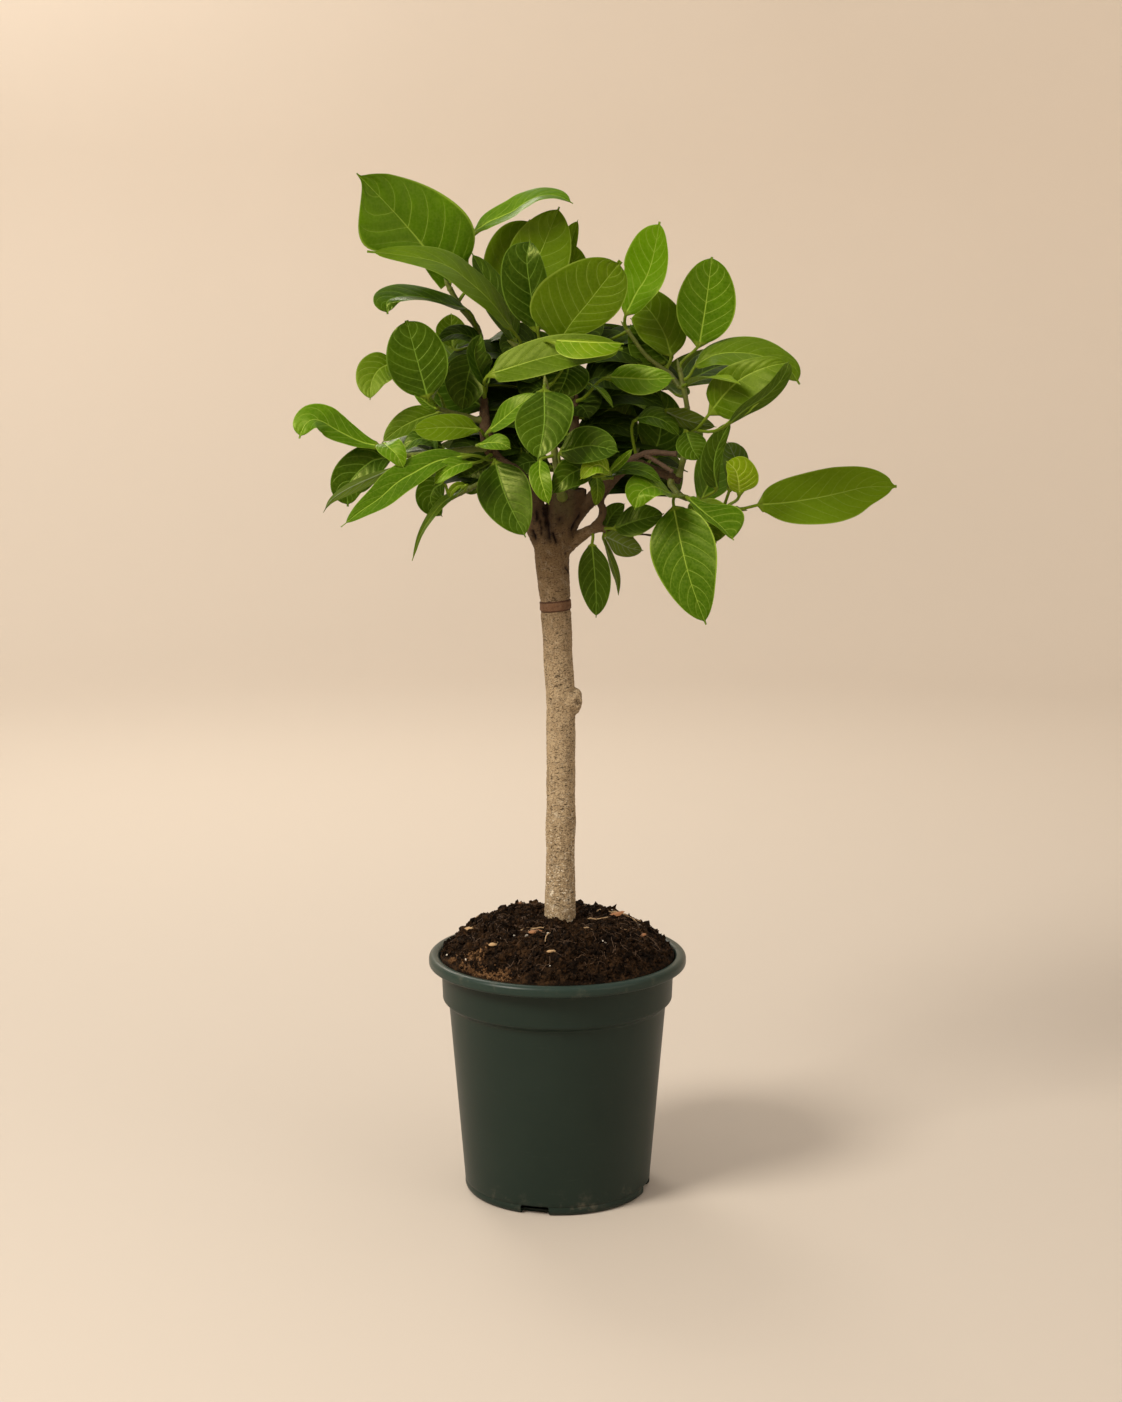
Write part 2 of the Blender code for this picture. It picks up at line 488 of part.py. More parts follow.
def make_leaf(name, carrier, hint, spine, width, face, widest, fold, twist, finish):
    """A stalk that starts at its carrier's bark and runs on into a thin folded blade."""
    spine = [place(point) for point in spine]
    face = Vector(face)

    def heading(t):
        ahead, behind = min(t + HEADING_STEP, 1.0), max(t - HEADING_STEP, 0.0)
        return (curve_through(spine, ahead) - curve_through(spine, behind)).normalized()

    base, start = spine[0], heading(0.0)
    across = start.cross(face).normalized()
    seat, outward = carrier_seat(PATHS[carrier], hint, base)
    reach = (base - seat).length / 3
    stalk = (seat, seat + outward * reach, base - start * reach, base)
    rings = []
    for t in STALK_STATIONS:
        centre = bezier(*stalk, t)
        way = outward if t == 0.0 else (bezier(*stalk, t + HEADING_STEP) - centre).normalized()
        side = (across - way * across.dot(way)).normalized()
        rings.append(ring_on(centre, way, side, PETIOLE_RADIUS))
    lift = math.radians(fold)
    for t in LEAF_STATIONS:
        way = heading(t)
        side = way.cross(face).normalized()
        normal = side.cross(way)
        turn = math.radians(twist) * (t - 0.5)
        side, normal = (side * math.cos(turn) + normal * math.sin(turn),
                        normal * math.cos(turn) - side * math.sin(turn))
        half = width / 2 * blade_share(t, widest)
        thick = BLADE_THICKNESS if t > 0.0 else PETIOLE_RADIUS * 2
        ring = []
        for u, level in BLADE_SECTION:
            out = half * u
            spot = curve_through(spine, t) + side * out * math.cos(lift) + normal * abs(out) * math.sin(lift)
            ring.append(spot + normal * thick * level)
        rings.append(ring)
    mesh = bmesh.new()
    loops = [[mesh.verts.new(spot * MM) for spot in ring] for ring in rings]
    for lower, higher in zip(loops, loops[1:]):
        for i in range(RING_POINTS):
            j = (i + 1) % RING_POINTS
            mesh.faces.new((lower[i], lower[j], higher[j], higher[i]))
    mesh.faces.new(loops[0])
    mesh.faces.new(loops[-1])
    bmesh.ops.recalc_face_normals(mesh, faces=mesh.faces)
    data = bpy.data.meshes.new(name)
    mesh.to_mesh(data)
    mesh.free()
    return add_object(name, data, finish)


make_pot()
make_soil()
PATHS = {"trunk": smooth(TRUNK)}
for limb, limb_points in LIMBS.items():
    PATHS[limb] = smooth(limb_points)
make_trunk()
for shoot, (shoot_carrier, shoot_hint, shoot_points) in SHOOTS.items():
    make_shoot(shoot, shoot_carrier, shoot_hint, shoot_points)
for leaf, leaf_values in LEAVES.items():
    make_leaf(leaf, *leaf_values)
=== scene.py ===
# %% [markdown]
# # A potted council tree, dressed around its CAD frame
#
# The CAD model already holds the real sizes: a nursery pot, its soil, a woody trunk, a dozen green
# shoots and forty-one leaves. Here each of those plain solids is replaced by a finely modelled piece
# in the same place, and leaves, twigs and crumbs are added that the CAD model leaves out. The frame
# is loaded first, and its box is kept, because the finished plant has to be as large. Lengths of the
# plant are in millimetres until they enter a mesh, since a grower calls a leaf 60 wide and not 0.06.

# %% Load the frame
import math
import random

import bpy
import numpy as np
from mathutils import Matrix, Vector, noise


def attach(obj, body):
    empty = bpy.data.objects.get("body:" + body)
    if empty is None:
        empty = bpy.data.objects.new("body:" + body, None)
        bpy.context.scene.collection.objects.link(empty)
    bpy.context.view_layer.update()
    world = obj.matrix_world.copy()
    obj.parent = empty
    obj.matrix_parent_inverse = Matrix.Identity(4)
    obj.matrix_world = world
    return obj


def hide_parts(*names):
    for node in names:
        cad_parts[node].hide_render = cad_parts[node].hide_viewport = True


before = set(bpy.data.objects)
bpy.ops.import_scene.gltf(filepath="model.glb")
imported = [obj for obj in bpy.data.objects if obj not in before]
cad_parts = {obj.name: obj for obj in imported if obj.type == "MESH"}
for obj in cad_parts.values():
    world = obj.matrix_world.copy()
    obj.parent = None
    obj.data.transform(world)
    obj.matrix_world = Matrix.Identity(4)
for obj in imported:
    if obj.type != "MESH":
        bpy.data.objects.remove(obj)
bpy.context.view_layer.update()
MM = 0.001

# %% [markdown]
# ## The eye
#
# The camera stands a little over two metres in front of the pot, at the height of the crown, and
# looks down by under ten degrees. The same eye point also lays out the plant: every place on it is
# given as an elevation, x and z on the plane through the trunk, and a depth y that slides the place
# along its line of sight. A leaf can then be moved nearer or further without leaving its outline.

# %% Camera
EYE = Vector((3.6, -2335.0, 895.0))
LOOK_DOWN = 0.1668
LENS = 61.14
SENSOR_WIDTH = 36.0
# The elevation is enlarged by this much, about this point, before a place is slid along its line
PLANT_SCALE = 1.0075
SCALE_CENTRE = Vector((0.0, 0.0, 386.0))


def place(point):
    """A point (x, z, y) of the elevation as a place in millimetres."""
    x, z, y = point
    on_plane = SCALE_CENTRE + (Vector((x, 0.0, z)) - SCALE_CENTRE) * PLANT_SCALE
    return EYE + (on_plane - EYE) * ((y - EYE.y) / -EYE.y)


camera = bpy.data.objects.new("camera", bpy.data.cameras.new("camera"))
bpy.context.scene.collection.objects.link(camera)
camera.location = EYE * MM
camera.rotation_euler = (math.pi / 2 - LOOK_DOWN, 0.0, 0.0)
camera.data.lens = LENS
camera.data.sensor_width = SENSOR_WIDTH
bpy.context.scene.camera = camera
print("camera", round(camera.data.lens, 1), "mm lens, at", [round(v, 3) for v in camera.location])

# %% [markdown]
# ## Small tools
#
# Every piece is modelled as by hand: a primitive is added, shaped in edit mode and finished with
# modifiers. These helpers keep that short. The first one clears the selection, because an operator
# acts on everything that is selected, and the CAD nodes are selected after loading.

# %% Modelling helpers
MERGE_DISTANCE = 0.00001  # metres


def start_fresh():
    """Back to object mode with nothing selected."""
    if bpy.context.mode != "OBJECT":
        bpy.ops.object.mode_set(mode="OBJECT")
    bpy.ops.object.select_all(action="DESELECT")


def named(name):
    """Names the piece that was just added, and puts its place and size into its mesh."""
    piece = bpy.context.object
    piece.name = piece.data.name = name
    bpy.ops.object.transform_apply(location=True, rotation=True, scale=True)
    return piece


def apply_modifier(piece, kind, **settings):
    """Adds a modifier with its settings and applies it at once."""
    modifier = piece.modifiers.new(kind.lower(), kind)
    for key, value in settings.items():
        setattr(modifier, key, value)
    bpy.context.view_layer.objects.active = piece
    bpy.ops.object.modifier_apply(modifier=modifier.name)


def finish_piece(piece, materials, slot, *nodes):
    """Gives a piece its materials, lets it ride with the plant and stand for its CAD nodes."""
    piece.data.materials.clear()
    for material in materials:
        piece.data.materials.append(material)
    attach(piece, "root")
    if nodes:
        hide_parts(*nodes)
    return piece


def shade_smooth(piece, angle=None):
    """Smooth all over, or only across edges that are blunter than the angle in degrees."""
    start_fresh()
    piece.select_set(True)
    bpy.context.view_layer.objects.active = piece
    if angle is None:
        bpy.ops.object.shade_smooth()
    else:
        bpy.ops.object.shade_smooth_by_angle(angle=math.radians(angle))


def turned(name, outline, steps):
    """A closed piece spun round the Z axis from an outline of (radius, height) in millimetres."""
    start_fresh()
    bpy.ops.mesh.primitive_plane_add(size=1.0)
    piece = named(name)
    bpy.ops.object.mode_set(mode="EDIT")
    bpy.ops.mesh.merge(type="CENTER")
    spots = [Vector((radius * MM, 0.0, height * MM)) for radius, height in outline]
    bpy.ops.transform.translate(value=spots[0])
    for before, after in zip(spots, spots[1:]):
        bpy.ops.mesh.extrude_vertices_move(TRANSFORM_OT_translate={"value": after - before})
    bpy.ops.mesh.select_all(action="SELECT")
    bpy.ops.mesh.spin(steps=steps, angle=math.tau, center=(0, 0, 0), axis=(0, 0, 1))
    bpy.ops.mesh.select_all(action="SELECT")
    bpy.ops.mesh.remove_doubles(threshold=MERGE_DISTANCE)
    bpy.ops.mesh.normals_make_consistent(inside=False)
    bpy.ops.object.mode_set(mode="OBJECT")
    return piece


def arc(centre, radius, first, last, count):
    """Points (radius, height) on a round stretch of an outline, by its angles in degrees."""
    angles = [math.radians(first + (last - first) * i / (count - 1)) for i in range(count)]
    return [(centre[0] + radius * math.cos(a), centre[1] + radius * math.sin(a)) for a in angles]


# %% [markdown]
# ## Shader maths
#
# A finish is easier to read as a sum than as a web of wires. `Value` wraps a socket that carries a
# number and gives it the usual operators, so `1 - mask` adds a Math node. `Finish` starts a material
# and makes every other node through one method, which takes the node's type, its settings and what
# its sockets hold.

# %% The finish maker
def operator(kind, swapped=False):
    """What Python calls when a value stands before, or if swapped behind, an operator's sign."""
    def work(self, other):
        return self.finish.math(kind, *((other, self) if swapped else (self, other)))
    return work


class Value:
    """A number in a material, which Python's operators can work on."""

    __add__ = __radd__ = operator("ADD")
    __sub__ = operator("SUBTRACT")
    __rsub__ = operator("SUBTRACT", swapped=True)
    __mul__ = __rmul__ = operator("MULTIPLY")
    __truediv__ = operator("DIVIDE")

    def __init__(self, finish, socket):
        self.finish = finish
        self.socket = socket

    def __abs__(self):
        return self.finish.math("ABSOLUTE", self)


class Finish:
    """A material that is built up from values."""

    def __init__(self, name, **constants):
        self.material = bpy.data.materials.new(name)
        self.material.use_nodes = True
        self.tree = self.material.node_tree
        self.shader = self.tree.nodes["Principled BSDF"]
        for key, value in constants.items():
            self.shader.inputs[key.replace("_", " ")].default_value = value

    def feed(self, socket, value):
        """Gives a socket a link or a constant."""
        if isinstance(value, Value):
            value = value.socket
        if isinstance(value, bpy.types.NodeSocket):
            self.tree.links.new(value, socket)
        else:
            socket.default_value = value

    def node(self, kind, settings, inputs):
        """Any node: its type, its own settings, and the values or links of its sockets."""
        made = self.tree.nodes.new("ShaderNode" + kind)
        for key, value in settings.items():
            setattr(made, key, value)
        for key, value in inputs.items():
            self.feed(made.inputs[key], value)
        return made

    def math(self, operation, *values):
        """One step of arithmetic."""
        made = self.node("Math", {"operation": operation}, dict(enumerate(values)))
        return Value(self, made.outputs[0])

    def between(self, value, low, high):
        """0 at low, 1 at high and a smooth step from one to the other."""
        made = self.node("MapRange", {"interpolation_type": "SMOOTHSTEP"}, {0: value, 1: low, 2: high})
        return Value(self, made.outputs[0])

    def mix(self, share, first, second):
        """A colour between two others, each a socket or red, green and blue."""
        first, second = [tint(*c) if isinstance(c, (tuple, list)) else c for c in (first, second)]
        return self.node("Mix", {"data_type": "RGBA"}, {0: share, 6: first, 7: second}).outputs[2]

    def layers(self, base, *layers):
        """Colours laid over a base one after another, each with the share that shows."""
        for share, colour in layers:
            base = self.mix(share, base, colour)
        return base

    def place(self, stretch=(1.0, 1.0, 1.0)):
        """The place on the piece, stretched along the axes."""
        where = self.node("TexCoord", {}, {}).outputs["Object"]
        return self.node("VectorMath", {"operation": "MULTIPLY"}, {0: where, 1: stretch}).outputs[0]

    def parts(self, vector):
        """The three numbers of a vector."""
        split = self.node("SeparateXYZ", {}, {0: vector})
        return [Value(self, socket) for socket in split.outputs]

    def attribute(self, name, output="Vector"):
        """What the mesh keeps at each of its points under a name."""
        return self.node("Attribute", {"attribute_name": name}, {}).outputs[output]

    def grain(self, size, detail=3.0, rough=0.5, where=None):
        """Cloudy noise from 0 to 1, whose patches are about size millimetres across."""
        inputs = {"Vector": where or self.place(), "Scale": 1.0 / (size * MM), "Detail": detail,
                  "Roughness": rough}
        return Value(self, self.node("TexNoise", {}, inputs).outputs[0])

    def cells(self, size):
        """Distance from the middle of the nearest cell; cells are about size millimetres across."""
        inputs = {"Vector": self.place(), "Scale": 1.0 / (size * MM)}
        return Value(self, self.node("TexVoronoi", {}, inputs).outputs[0])

    def relief(self, height, depth):
        """Feeds a height of 0 to 1 into the surface normal, depth millimetres deep."""
        bump = self.node("Bump", {}, {"Distance": depth * MM, "Height": height})
        self.feed(self.shader.inputs["Normal"], bump.outputs[0])

    def colour(self, value):
        self.feed(self.shader.inputs["Base Color"], value)

    def roughness(self, value):
        self.feed(self.shader.inputs["Roughness"], value)


def tint(red, green, blue):
    """A colour as a socket wants it."""
    return (red, green, blue, 1.0)


# %% [markdown]
# ## A pale room and soft light
#
# The plant stands in a plain round studio: a warm pale floor that curves up into the wall, so that
# no view shows an edge. The floor starts as a circle that is filled, and its rim is extruded outwards
# and upwards ring by ring. Its colour is painted darker near the plant than far behind it, and the
# wall lighter than the floor: painted shade and light for how the room is lit.

# %% Floor and wall
# The room is in metres
FLOOR_RADIUS = 3.3
COVE_RADIUS = 1.3
WALL_TOP = 4.2
WALL_SIDES = 96
COVE_STEPS = 14
FAR_FLOOR = 2.6


def make_studio():
    """Floor, cove and wall as one skin."""
    start_fresh()
    bpy.ops.mesh.primitive_circle_add(vertices=WALL_SIDES, radius=FLOOR_RADIUS, fill_type="NGON")
    studio = named("studio")
    bpy.ops.object.mode_set(mode="EDIT")
    bpy.ops.mesh.select_all(action="SELECT")
    rings = [(FLOOR_RADIUS + COVE_RADIUS * math.sin(a), COVE_RADIUS * (1 - math.cos(a)))
             for a in [math.pi / 2 * (i + 1) / COVE_STEPS for i in range(COVE_STEPS)]]
    rings.append((FLOOR_RADIUS + COVE_RADIUS, WALL_TOP))
    bpy.ops.mesh.select_mode(type="EDGE")
    bpy.ops.mesh.region_to_loop()
    radius, height = FLOOR_RADIUS, 0.0
    for next_radius, next_height in rings:
        bpy.ops.mesh.extrude_edges_move(TRANSFORM_OT_translate={"value": (0, 0, next_height - height)})
        scale = next_radius / radius
        bpy.ops.transform.resize(value=(scale, scale, 1.0), center_override=(0, 0, 0))
        radius, height = next_radius, next_height
    bpy.ops.mesh.select_mode(type="VERT")
    bpy.ops.object.mode_set(mode="OBJECT")
    shade_smooth(studio)
    plaster = Finish("warm_plaster", Roughness=0.9)
    cloud = plaster.grain(900.0, 2.0)
    _, y, z = plaster.parts(plaster.place())
    wall = plaster.mix(cloud, (0.735, 0.650, 0.556), (0.785, 0.696, 0.600))
    # Painted shade and light: the floor darkens towards the plant and lightens far off, and the wall is
    # lighter than the floor.
    far = plaster.between(y, 0.0, FAR_FLOOR)
    shaded_ground = plaster.mix(far, (0.54, 0.480, 0.418), (0.680, 0.602, 0.516))
    plaster.colour(plaster.mix(plaster.between(z, 0.0, COVE_RADIUS), shaded_ground, wall))
    studio.data.materials.append(plaster.material)
    return studio


studio = make_studio()
print("studio", len(studio.data.polygons), "faces")

# %% [markdown]
# Now the light. A large soft lamp stands high on the left in front, a weak one fills the right, a
# faint one behind lets light through the leaves, and one washes the wall. Each is a disk that the
# camera does not see, turned towards its aim. The sky adds a little warm light from everywhere, so
# that the shade between the leaves is dark but not black.

# %% Lamps and sky
CROWN = (0.0, 0.0, 0.7)
SKY_COLOUR = (1.0, 0.95, 0.88)
SKY_STRENGTH = 0.68


def lamp(name, location, size, power, colour, aim=CROWN):
    """A disk of light in metres and watts."""
    light = bpy.data.lights.new(name, "AREA")
    light.shape = "DISK"
    light.size = size
    light.energy = power
    light.color = colour
    holder = bpy.data.objects.new(name, light)
    bpy.context.scene.collection.objects.link(holder)
    holder.location = location
    holder.visible_camera = False
    holder.rotation_euler = (Vector(aim) - Vector(location)).to_track_quat("-Z", "Y").to_euler()


lamp("key_lamp", (-1.9, -1.5, 2.5), size=1.2, power=104.0, colour=(1.0, 0.93, 0.82))
lamp("fill_lamp", (2.2, -1.6, 1.3), size=2.0, power=11.0, colour=SKY_COLOUR)
lamp("back_lamp", (-0.9, 2.1, 2.1), size=1.2, power=18.0, colour=(1.0, 0.94, 0.84))
lamp("wall_lamp", (-1.7, 3.3, 3.2), size=1.2, power=30.0, colour=SKY_COLOUR, aim=(-1.9, 4.6, 0.9))
world = bpy.data.worlds.new("soft_sky")
bpy.context.scene.world = world
world.use_nodes = True
sky = world.node_tree.nodes["Background"]
sky.inputs["Color"].default_value = tint(*SKY_COLOUR)
sky.inputs["Strength"].default_value = SKY_STRENGTH
bpy.context.scene.view_settings.view_transform = "Standard"

# %% [markdown]
# ## The nursery pot
#
# A grower's pot is one thin injection moulding: a tapered wall, a collar that steps out near the top
# so that pots nest, a fat rolled lip, and four drain slots in the foot. It is round all the way, so
# its whole wall is one outline, spun. The round stretches of the outline are arcs, because the lip
# catches a long highlight that would show every corner.

# %% Pot shape
LIP_RADIUS = 130.0
MOUTH_RADIUS = 119.0
COLLAR_RADIUS = 116.8
COLLAR_FOOT = 199.0
BODY_TOP = 188.0
BODY_TOP_RADIUS = 109.4
BODY_FOOT = 12.0
BODY_RINGS = 5
FOOT_RADIUS = 94.8
FOOT_ROUND = 4.8
WALL = 2.0
FLOOR = 3.0
INNER_CORNER = 6.0
POT_STEPS = 160
SLOT_COUNT = 4
SLOT_FIRST_ANGLE = -104.0
SLOT_WIDTH = 29.0
SLOT_HEIGHT = 9.5
SLOT_CORNER = 2.4
SLOT_INNER_RADIUS = 84.0


def pot_outline():
    """The pot's section from the middle of its floor, up inside, over the lip and down outside."""
    inner_top = BODY_TOP_RADIUS - WALL
    inner_foot = FOOT_RADIUS - WALL
    inner_collar = COLLAR_RADIUS - WALL
    inside = [(0, FLOOR), (inner_foot - 30, FLOOR)]
    inside += arc((inner_foot - INNER_CORNER, FLOOR + INNER_CORNER), INNER_CORNER, -90, 0, 5)
    inside += [(inner_top, COLLAR_FOOT - 10), (inner_top + 1.5, COLLAR_FOOT - 5),
               (inner_collar - 0.6, COLLAR_FOOT + 3), (inner_collar + 0.6, 231), (MOUTH_RADIUS, 237)]
    lip = [(MOUTH_RADIUS, 239.5)] + arc((MOUTH_RADIUS + 4.0, 240.6), 4.0, 170, 100, 6)
    lip += arc((LIP_RADIUS - 5.0, 239.8), 5.0, 82, 4, 8)
    lip += arc((LIP_RADIUS - 2.6, 236.2), 2.6, -4, -80, 5)
    collar = [(COLLAR_RADIUS + 2.2, 233.3)] + arc((COLLAR_RADIUS + 2.0, 231.6), 1.4, 120, 180, 4)
    collar += [(COLLAR_RADIUS + 0.3, 224.0), (COLLAR_RADIUS - 0.6, COLLAR_FOOT + 3)]
    collar += arc((COLLAR_RADIUS - 3.8, COLLAR_FOOT + 1.6), 3.2, -4, -62, 5)
    collar += arc((BODY_TOP_RADIUS + 4.2, COLLAR_FOOT - 7.0), 4.0, 118, 180, 5)
    body = [(BODY_TOP_RADIUS + (FOOT_RADIUS - BODY_TOP_RADIUS) * ring / BODY_RINGS,
             BODY_TOP + (BODY_FOOT - BODY_TOP) * ring / BODY_RINGS) for ring in range(BODY_RINGS + 1)]
    groove = [(FOOT_RADIUS - 0.1, 9.6), (FOOT_RADIUS - 0.6, 9.0), (FOOT_RADIUS - 0.6, 8.4),
              (FOOT_RADIUS - 0.25, 7.8)]
    foot = arc((FOOT_RADIUS - 5.0, FOOT_ROUND), FOOT_ROUND, 0, -90, 7)
    return inside + lip + collar + body + groove + foot + [(FOOT_RADIUS - 30, 0.0), (0, 0)]


def cut_slots(piece, size, reach, corner=0.0):
    """A ring of boxes, at a reach from the middle of the floor, cuts the drain slots."""
    scale = [side * MM for side in size]
    middle = reach * MM
    for index in range(SLOT_COUNT):
        angle = math.radians(SLOT_FIRST_ANGLE + index * 360.0 / SLOT_COUNT)
        start_fresh()
        bpy.ops.mesh.primitive_cube_add(size=1.0, scale=scale, rotation=(0.0, 0.0, angle),
                                        location=(middle * math.cos(angle), middle * math.sin(angle), 0.0))
        cutter = named(f"slot_cutter_{index + 1}")
        if corner:
            apply_modifier(cutter, "BEVEL", width=corner * MM, segments=3)
        apply_modifier(piece, "BOOLEAN", operation="DIFFERENCE", solver="EXACT", object=cutter)
        bpy.data.objects.remove(cutter, do_unlink=True)


pot = turned("nursery_pot", pot_outline(), POT_STEPS)
slot_length = LIP_RADIUS - SLOT_INNER_RADIUS
slot_size = (slot_length, SLOT_WIDTH, SLOT_HEIGHT * 2)
cut_slots(pot, slot_size, SLOT_INNER_RADIUS + slot_length / 2, SLOT_CORNER)
shade_smooth(pot, angle=38)
print("pot", len(pot.data.polygons), "faces")

# %% [markdown]
# The plastic is a dull bottle green with a satin skin. Up close it has a fine moulded grain, faint
# scuffs that run round it from being nested and pulled, pale dust on the foot, and dry soil marks
# under the lip. Each of those is a mask between 0 and 1 that lightens or roughens the green.

# %% Pot finish
def pot_plastic():
    """Green plastic with scuffs, dust and dry splashes."""
    finish = Finish("pot_plastic", Specular_IOR_Level=0.20)
    _, _, z = finish.parts(finish.place())
    cloud = finish.grain(70.0, 3.0)
    scuffs = finish.grain(9.0, 4.0, 0.65, finish.place((0.35, 0.35, 3.2)))
    scuff = finish.between(scuffs, 0.60, 0.78)
    dust_patches = finish.grain(16.0, 5.0, 0.7)
    low = 1 - finish.between(z, 0.0, 0.032)
    high = finish.between(z, 0.222, 0.236)
    dust = finish.between(dust_patches, 0.52, 0.80) * (low * 0.55 + high * 0.30)
    specks = 1 - finish.between(finish.cells(7.0), 0.03, 0.07)
    base = finish.mix(cloud, (0.0100, 0.0200, 0.0150), (0.0150, 0.0275, 0.0205))
    # Painted highlight: a lighter band along the top of the lip where the light catches it; the band is also
    # a little glossier.
    lip = finish.between(z, 0.2330, 0.2375)
    finish.colour(finish.layers(base, (lip * 0.6, (0.0240, 0.0440, 0.0360)),
                                (scuff * 0.14, (0.055, 0.070, 0.056)),
                                (dust + specks * 0.10, (0.20, 0.17, 0.13))))
    finish.roughness(0.36 + cloud * 0.10 + scuff * 0.10 + dust * 0.4 - lip * 0.07)
    skin = finish.grain(0.9, 2.0)
    finish.relief(skin * 0.35 + scuffs * 0.4 + cloud * 0.5, 0.12)
    return finish.material


finish_piece(pot, [pot_plastic()], "pot_plastic", "pot")

# %% [markdown]
# ## The soil
#
# The peat is one crowned mass. Its outline is spun like the pot's, with close rings on top, and then
# each point of the top is lifted or sunk by three sizes of noise: heaps, clods and crumbs. Loose
# crumbs, roots, straws, bark chips and white perlite are laid on it afterwards, because a bump alone
# leaves the edge against the wall smooth, and a real one is ragged.

# %% Soil mass
SOIL_CROWN = 282.0
SOIL_EDGE = 241.5
DOME_PROFILE = ((0, 7.5), (18, 7.0), (34, 5.0), (50, 4.2), (64, 6.0), (76, 10.0), (90, 17.0), (106, 28.0),
                (118, 38.5))
SOIL_STEPS = 288
DOME_RINGS = 84
SOIL_RADIUS = MOUTH_RADIUS - 1.0
SOIL_GAP = 0.4
SOIL_FOOT = 3.4
SOIL_CUT = (60.0, 31.0, 24.0)
SOIL_CUT_REACH = 110.0
EDGE_WIDTH = 10.0
EDGE_RELIEF = 0.35


def dome_height(radius):
    """The height of the soil's crown at a distance from the middle."""
    for (r1, drop1), (r2, drop2) in zip(DOME_PROFILE, DOME_PROFILE[1:]):
        if radius <= r2:
            share = (radius - r1) / (r2 - r1)
            return SOIL_CROWN - drop1 - (drop2 - drop1) * share
    return SOIL_CROWN - DOME_PROFILE[-1][1]


def fractal(x, y, z, octaves):
    """Noise of several sizes in one, each half as large as the last."""
    return noise.fractal(Vector((x, y, z)), 0.9, 2.0, octaves)


def soil_relief(x, y):
    """How far a point of the crown is lifted, in millimetres."""
    heaps = noise.noise(Vector((x / 38, y / 38, 1.7))) * 4.5
    clods = fractal(x / 11, y / 11, 5.1, 3) * 2.6
    crumbs = abs(noise.noise(Vector((x / 3.2, y / 3.2, 9.4)))) * 1.8
    return heaps + clods + crumbs


def soil_surface(x, y):
    """The height of the soil at a place; it is calmer beside the wall of the pot."""
    radius = math.hypot(x, y)
    inward = min(1.0, max(0.0, (SOIL_RADIUS - radius) / EDGE_WIDTH))
    return dome_height(radius) + soil_relief(x, y) * (EDGE_RELIEF + (1.0 - EDGE_RELIEF) * inward)


def make_soil():
    """The peat: a crown that is lifted into clods, on a body that fills the pot."""
    top = [(SOIL_RADIUS * i / DOME_RINGS, dome_height(SOIL_RADIUS * i / DOME_RINGS))
           for i in range(DOME_RINGS + 1)]
    side = [(MOUTH_RADIUS - SOIL_GAP, 237), (COLLAR_RADIUS - WALL, 230),
            (COLLAR_RADIUS - WALL - 1.2, 202), (BODY_TOP_RADIUS - WALL - SOIL_GAP, 189),
            (FOOT_RADIUS - WALL - SOIL_GAP, 9.5), (FOOT_RADIUS - 9, SOIL_FOOT), (0, SOIL_FOOT)]
    soil = turned("soil_mass", top + side, SOIL_STEPS)
    for vertex in soil.data.vertices:
        x, y, z = vertex.co / MM
        radius = math.hypot(x, y)
        if z > SOIL_EDGE - 2 and radius <= SOIL_RADIUS + 0.1:
            vertex.co.z = soil_surface(x, y) * MM
    cut_slots(soil, SOIL_CUT, SOIL_CUT_REACH)
    shade_smooth(soil, angle=60)
    return soil


soil = make_soil()
print("soil", len(soil.data.polygons), "faces")

# %% [markdown]
# The peat is nearly black where clods and fibres, two sizes of noise, run low and brown where they
# run high. The same noise sets the relief, so the dark lies in its hollows, and a cell pattern adds a
# few paler specks. A tan version is for a patch of drier crumbs at the front on the left.

# %% Soil finish
def peat(name, dark, light):
    """Peat between two colours."""
    finish = Finish(name, Roughness=0.95, Specular_IOR_Level=0.10)
    clods = finish.grain(14.0, 4.0, 0.6)
    fibre = finish.grain(2.2, 5.0, 0.7, finish.place((1.0, 0.45, 1.0)))
    specks = 1 - finish.between(finish.cells(3.4), 0.10, 0.22)
    tone = finish.between(fibre * 0.6 + clods * 0.5, 0.48, 0.74)
    base = finish.mix(tone, dark, light)
    finish.colour(finish.mix(specks * 0.16, base, (0.16, 0.09, 0.045)))
    finish.relief(fibre + clods * 0.6, 1.1)
    return finish.material


peat_dark = peat("peat_dark", (0.0045, 0.0022, 0.0009), (0.056, 0.0280, 0.0115))
peat_tan = peat("peat_tan", (0.085, 0.042, 0.018), (0.28, 0.155, 0.070))
finish_piece(soil, [peat_dark], "potting_soil", "soil")

# %% [markdown]
# Crumbs are modelled a few times and copied by the hundred. Each master is an icosphere whose points
# are pushed in and out until it looks torn. A copy is turned, squashed and set half into the soil,
# and all copies of one kind end up in one mesh, which keeps the scene light. Small sizes are more
# common than large ones, and a ring of crumbs hides where the trunk enters the soil.

# %% Loose matter on the soil
TRUNK_X = 3.0
TRUNK_HOLE = 13.8
FOOT_RING = 16.5
SMALL_FIRST = 1.7
CRUMB_ANGLE = 50


def masters(kind, count, subdivisions, wildness, seed):
    """The torn or chipped shapes that are copied, as arrays of points and faces."""
    made = []
    for index in range(count):
        start_fresh()
        bpy.ops.mesh.primitive_ico_sphere_add(subdivisions=subdivisions, radius=1.0)
        rough = named(f"{kind}_master_{index + 1}")
        for vertex in rough.data.vertices:
            where = vertex.co * 1.3 + Vector((seed, index * 7.0, 0.0))
            vertex.co *= 1.0 + wildness * noise.noise(where)
        points = np.array([tuple(v.co) for v in rough.data.vertices])
        faces = np.array([tuple(p.vertices) for p in rough.data.polygons])
        made.append((points, faces))
        bpy.data.objects.remove(rough, do_unlink=True)
    return made


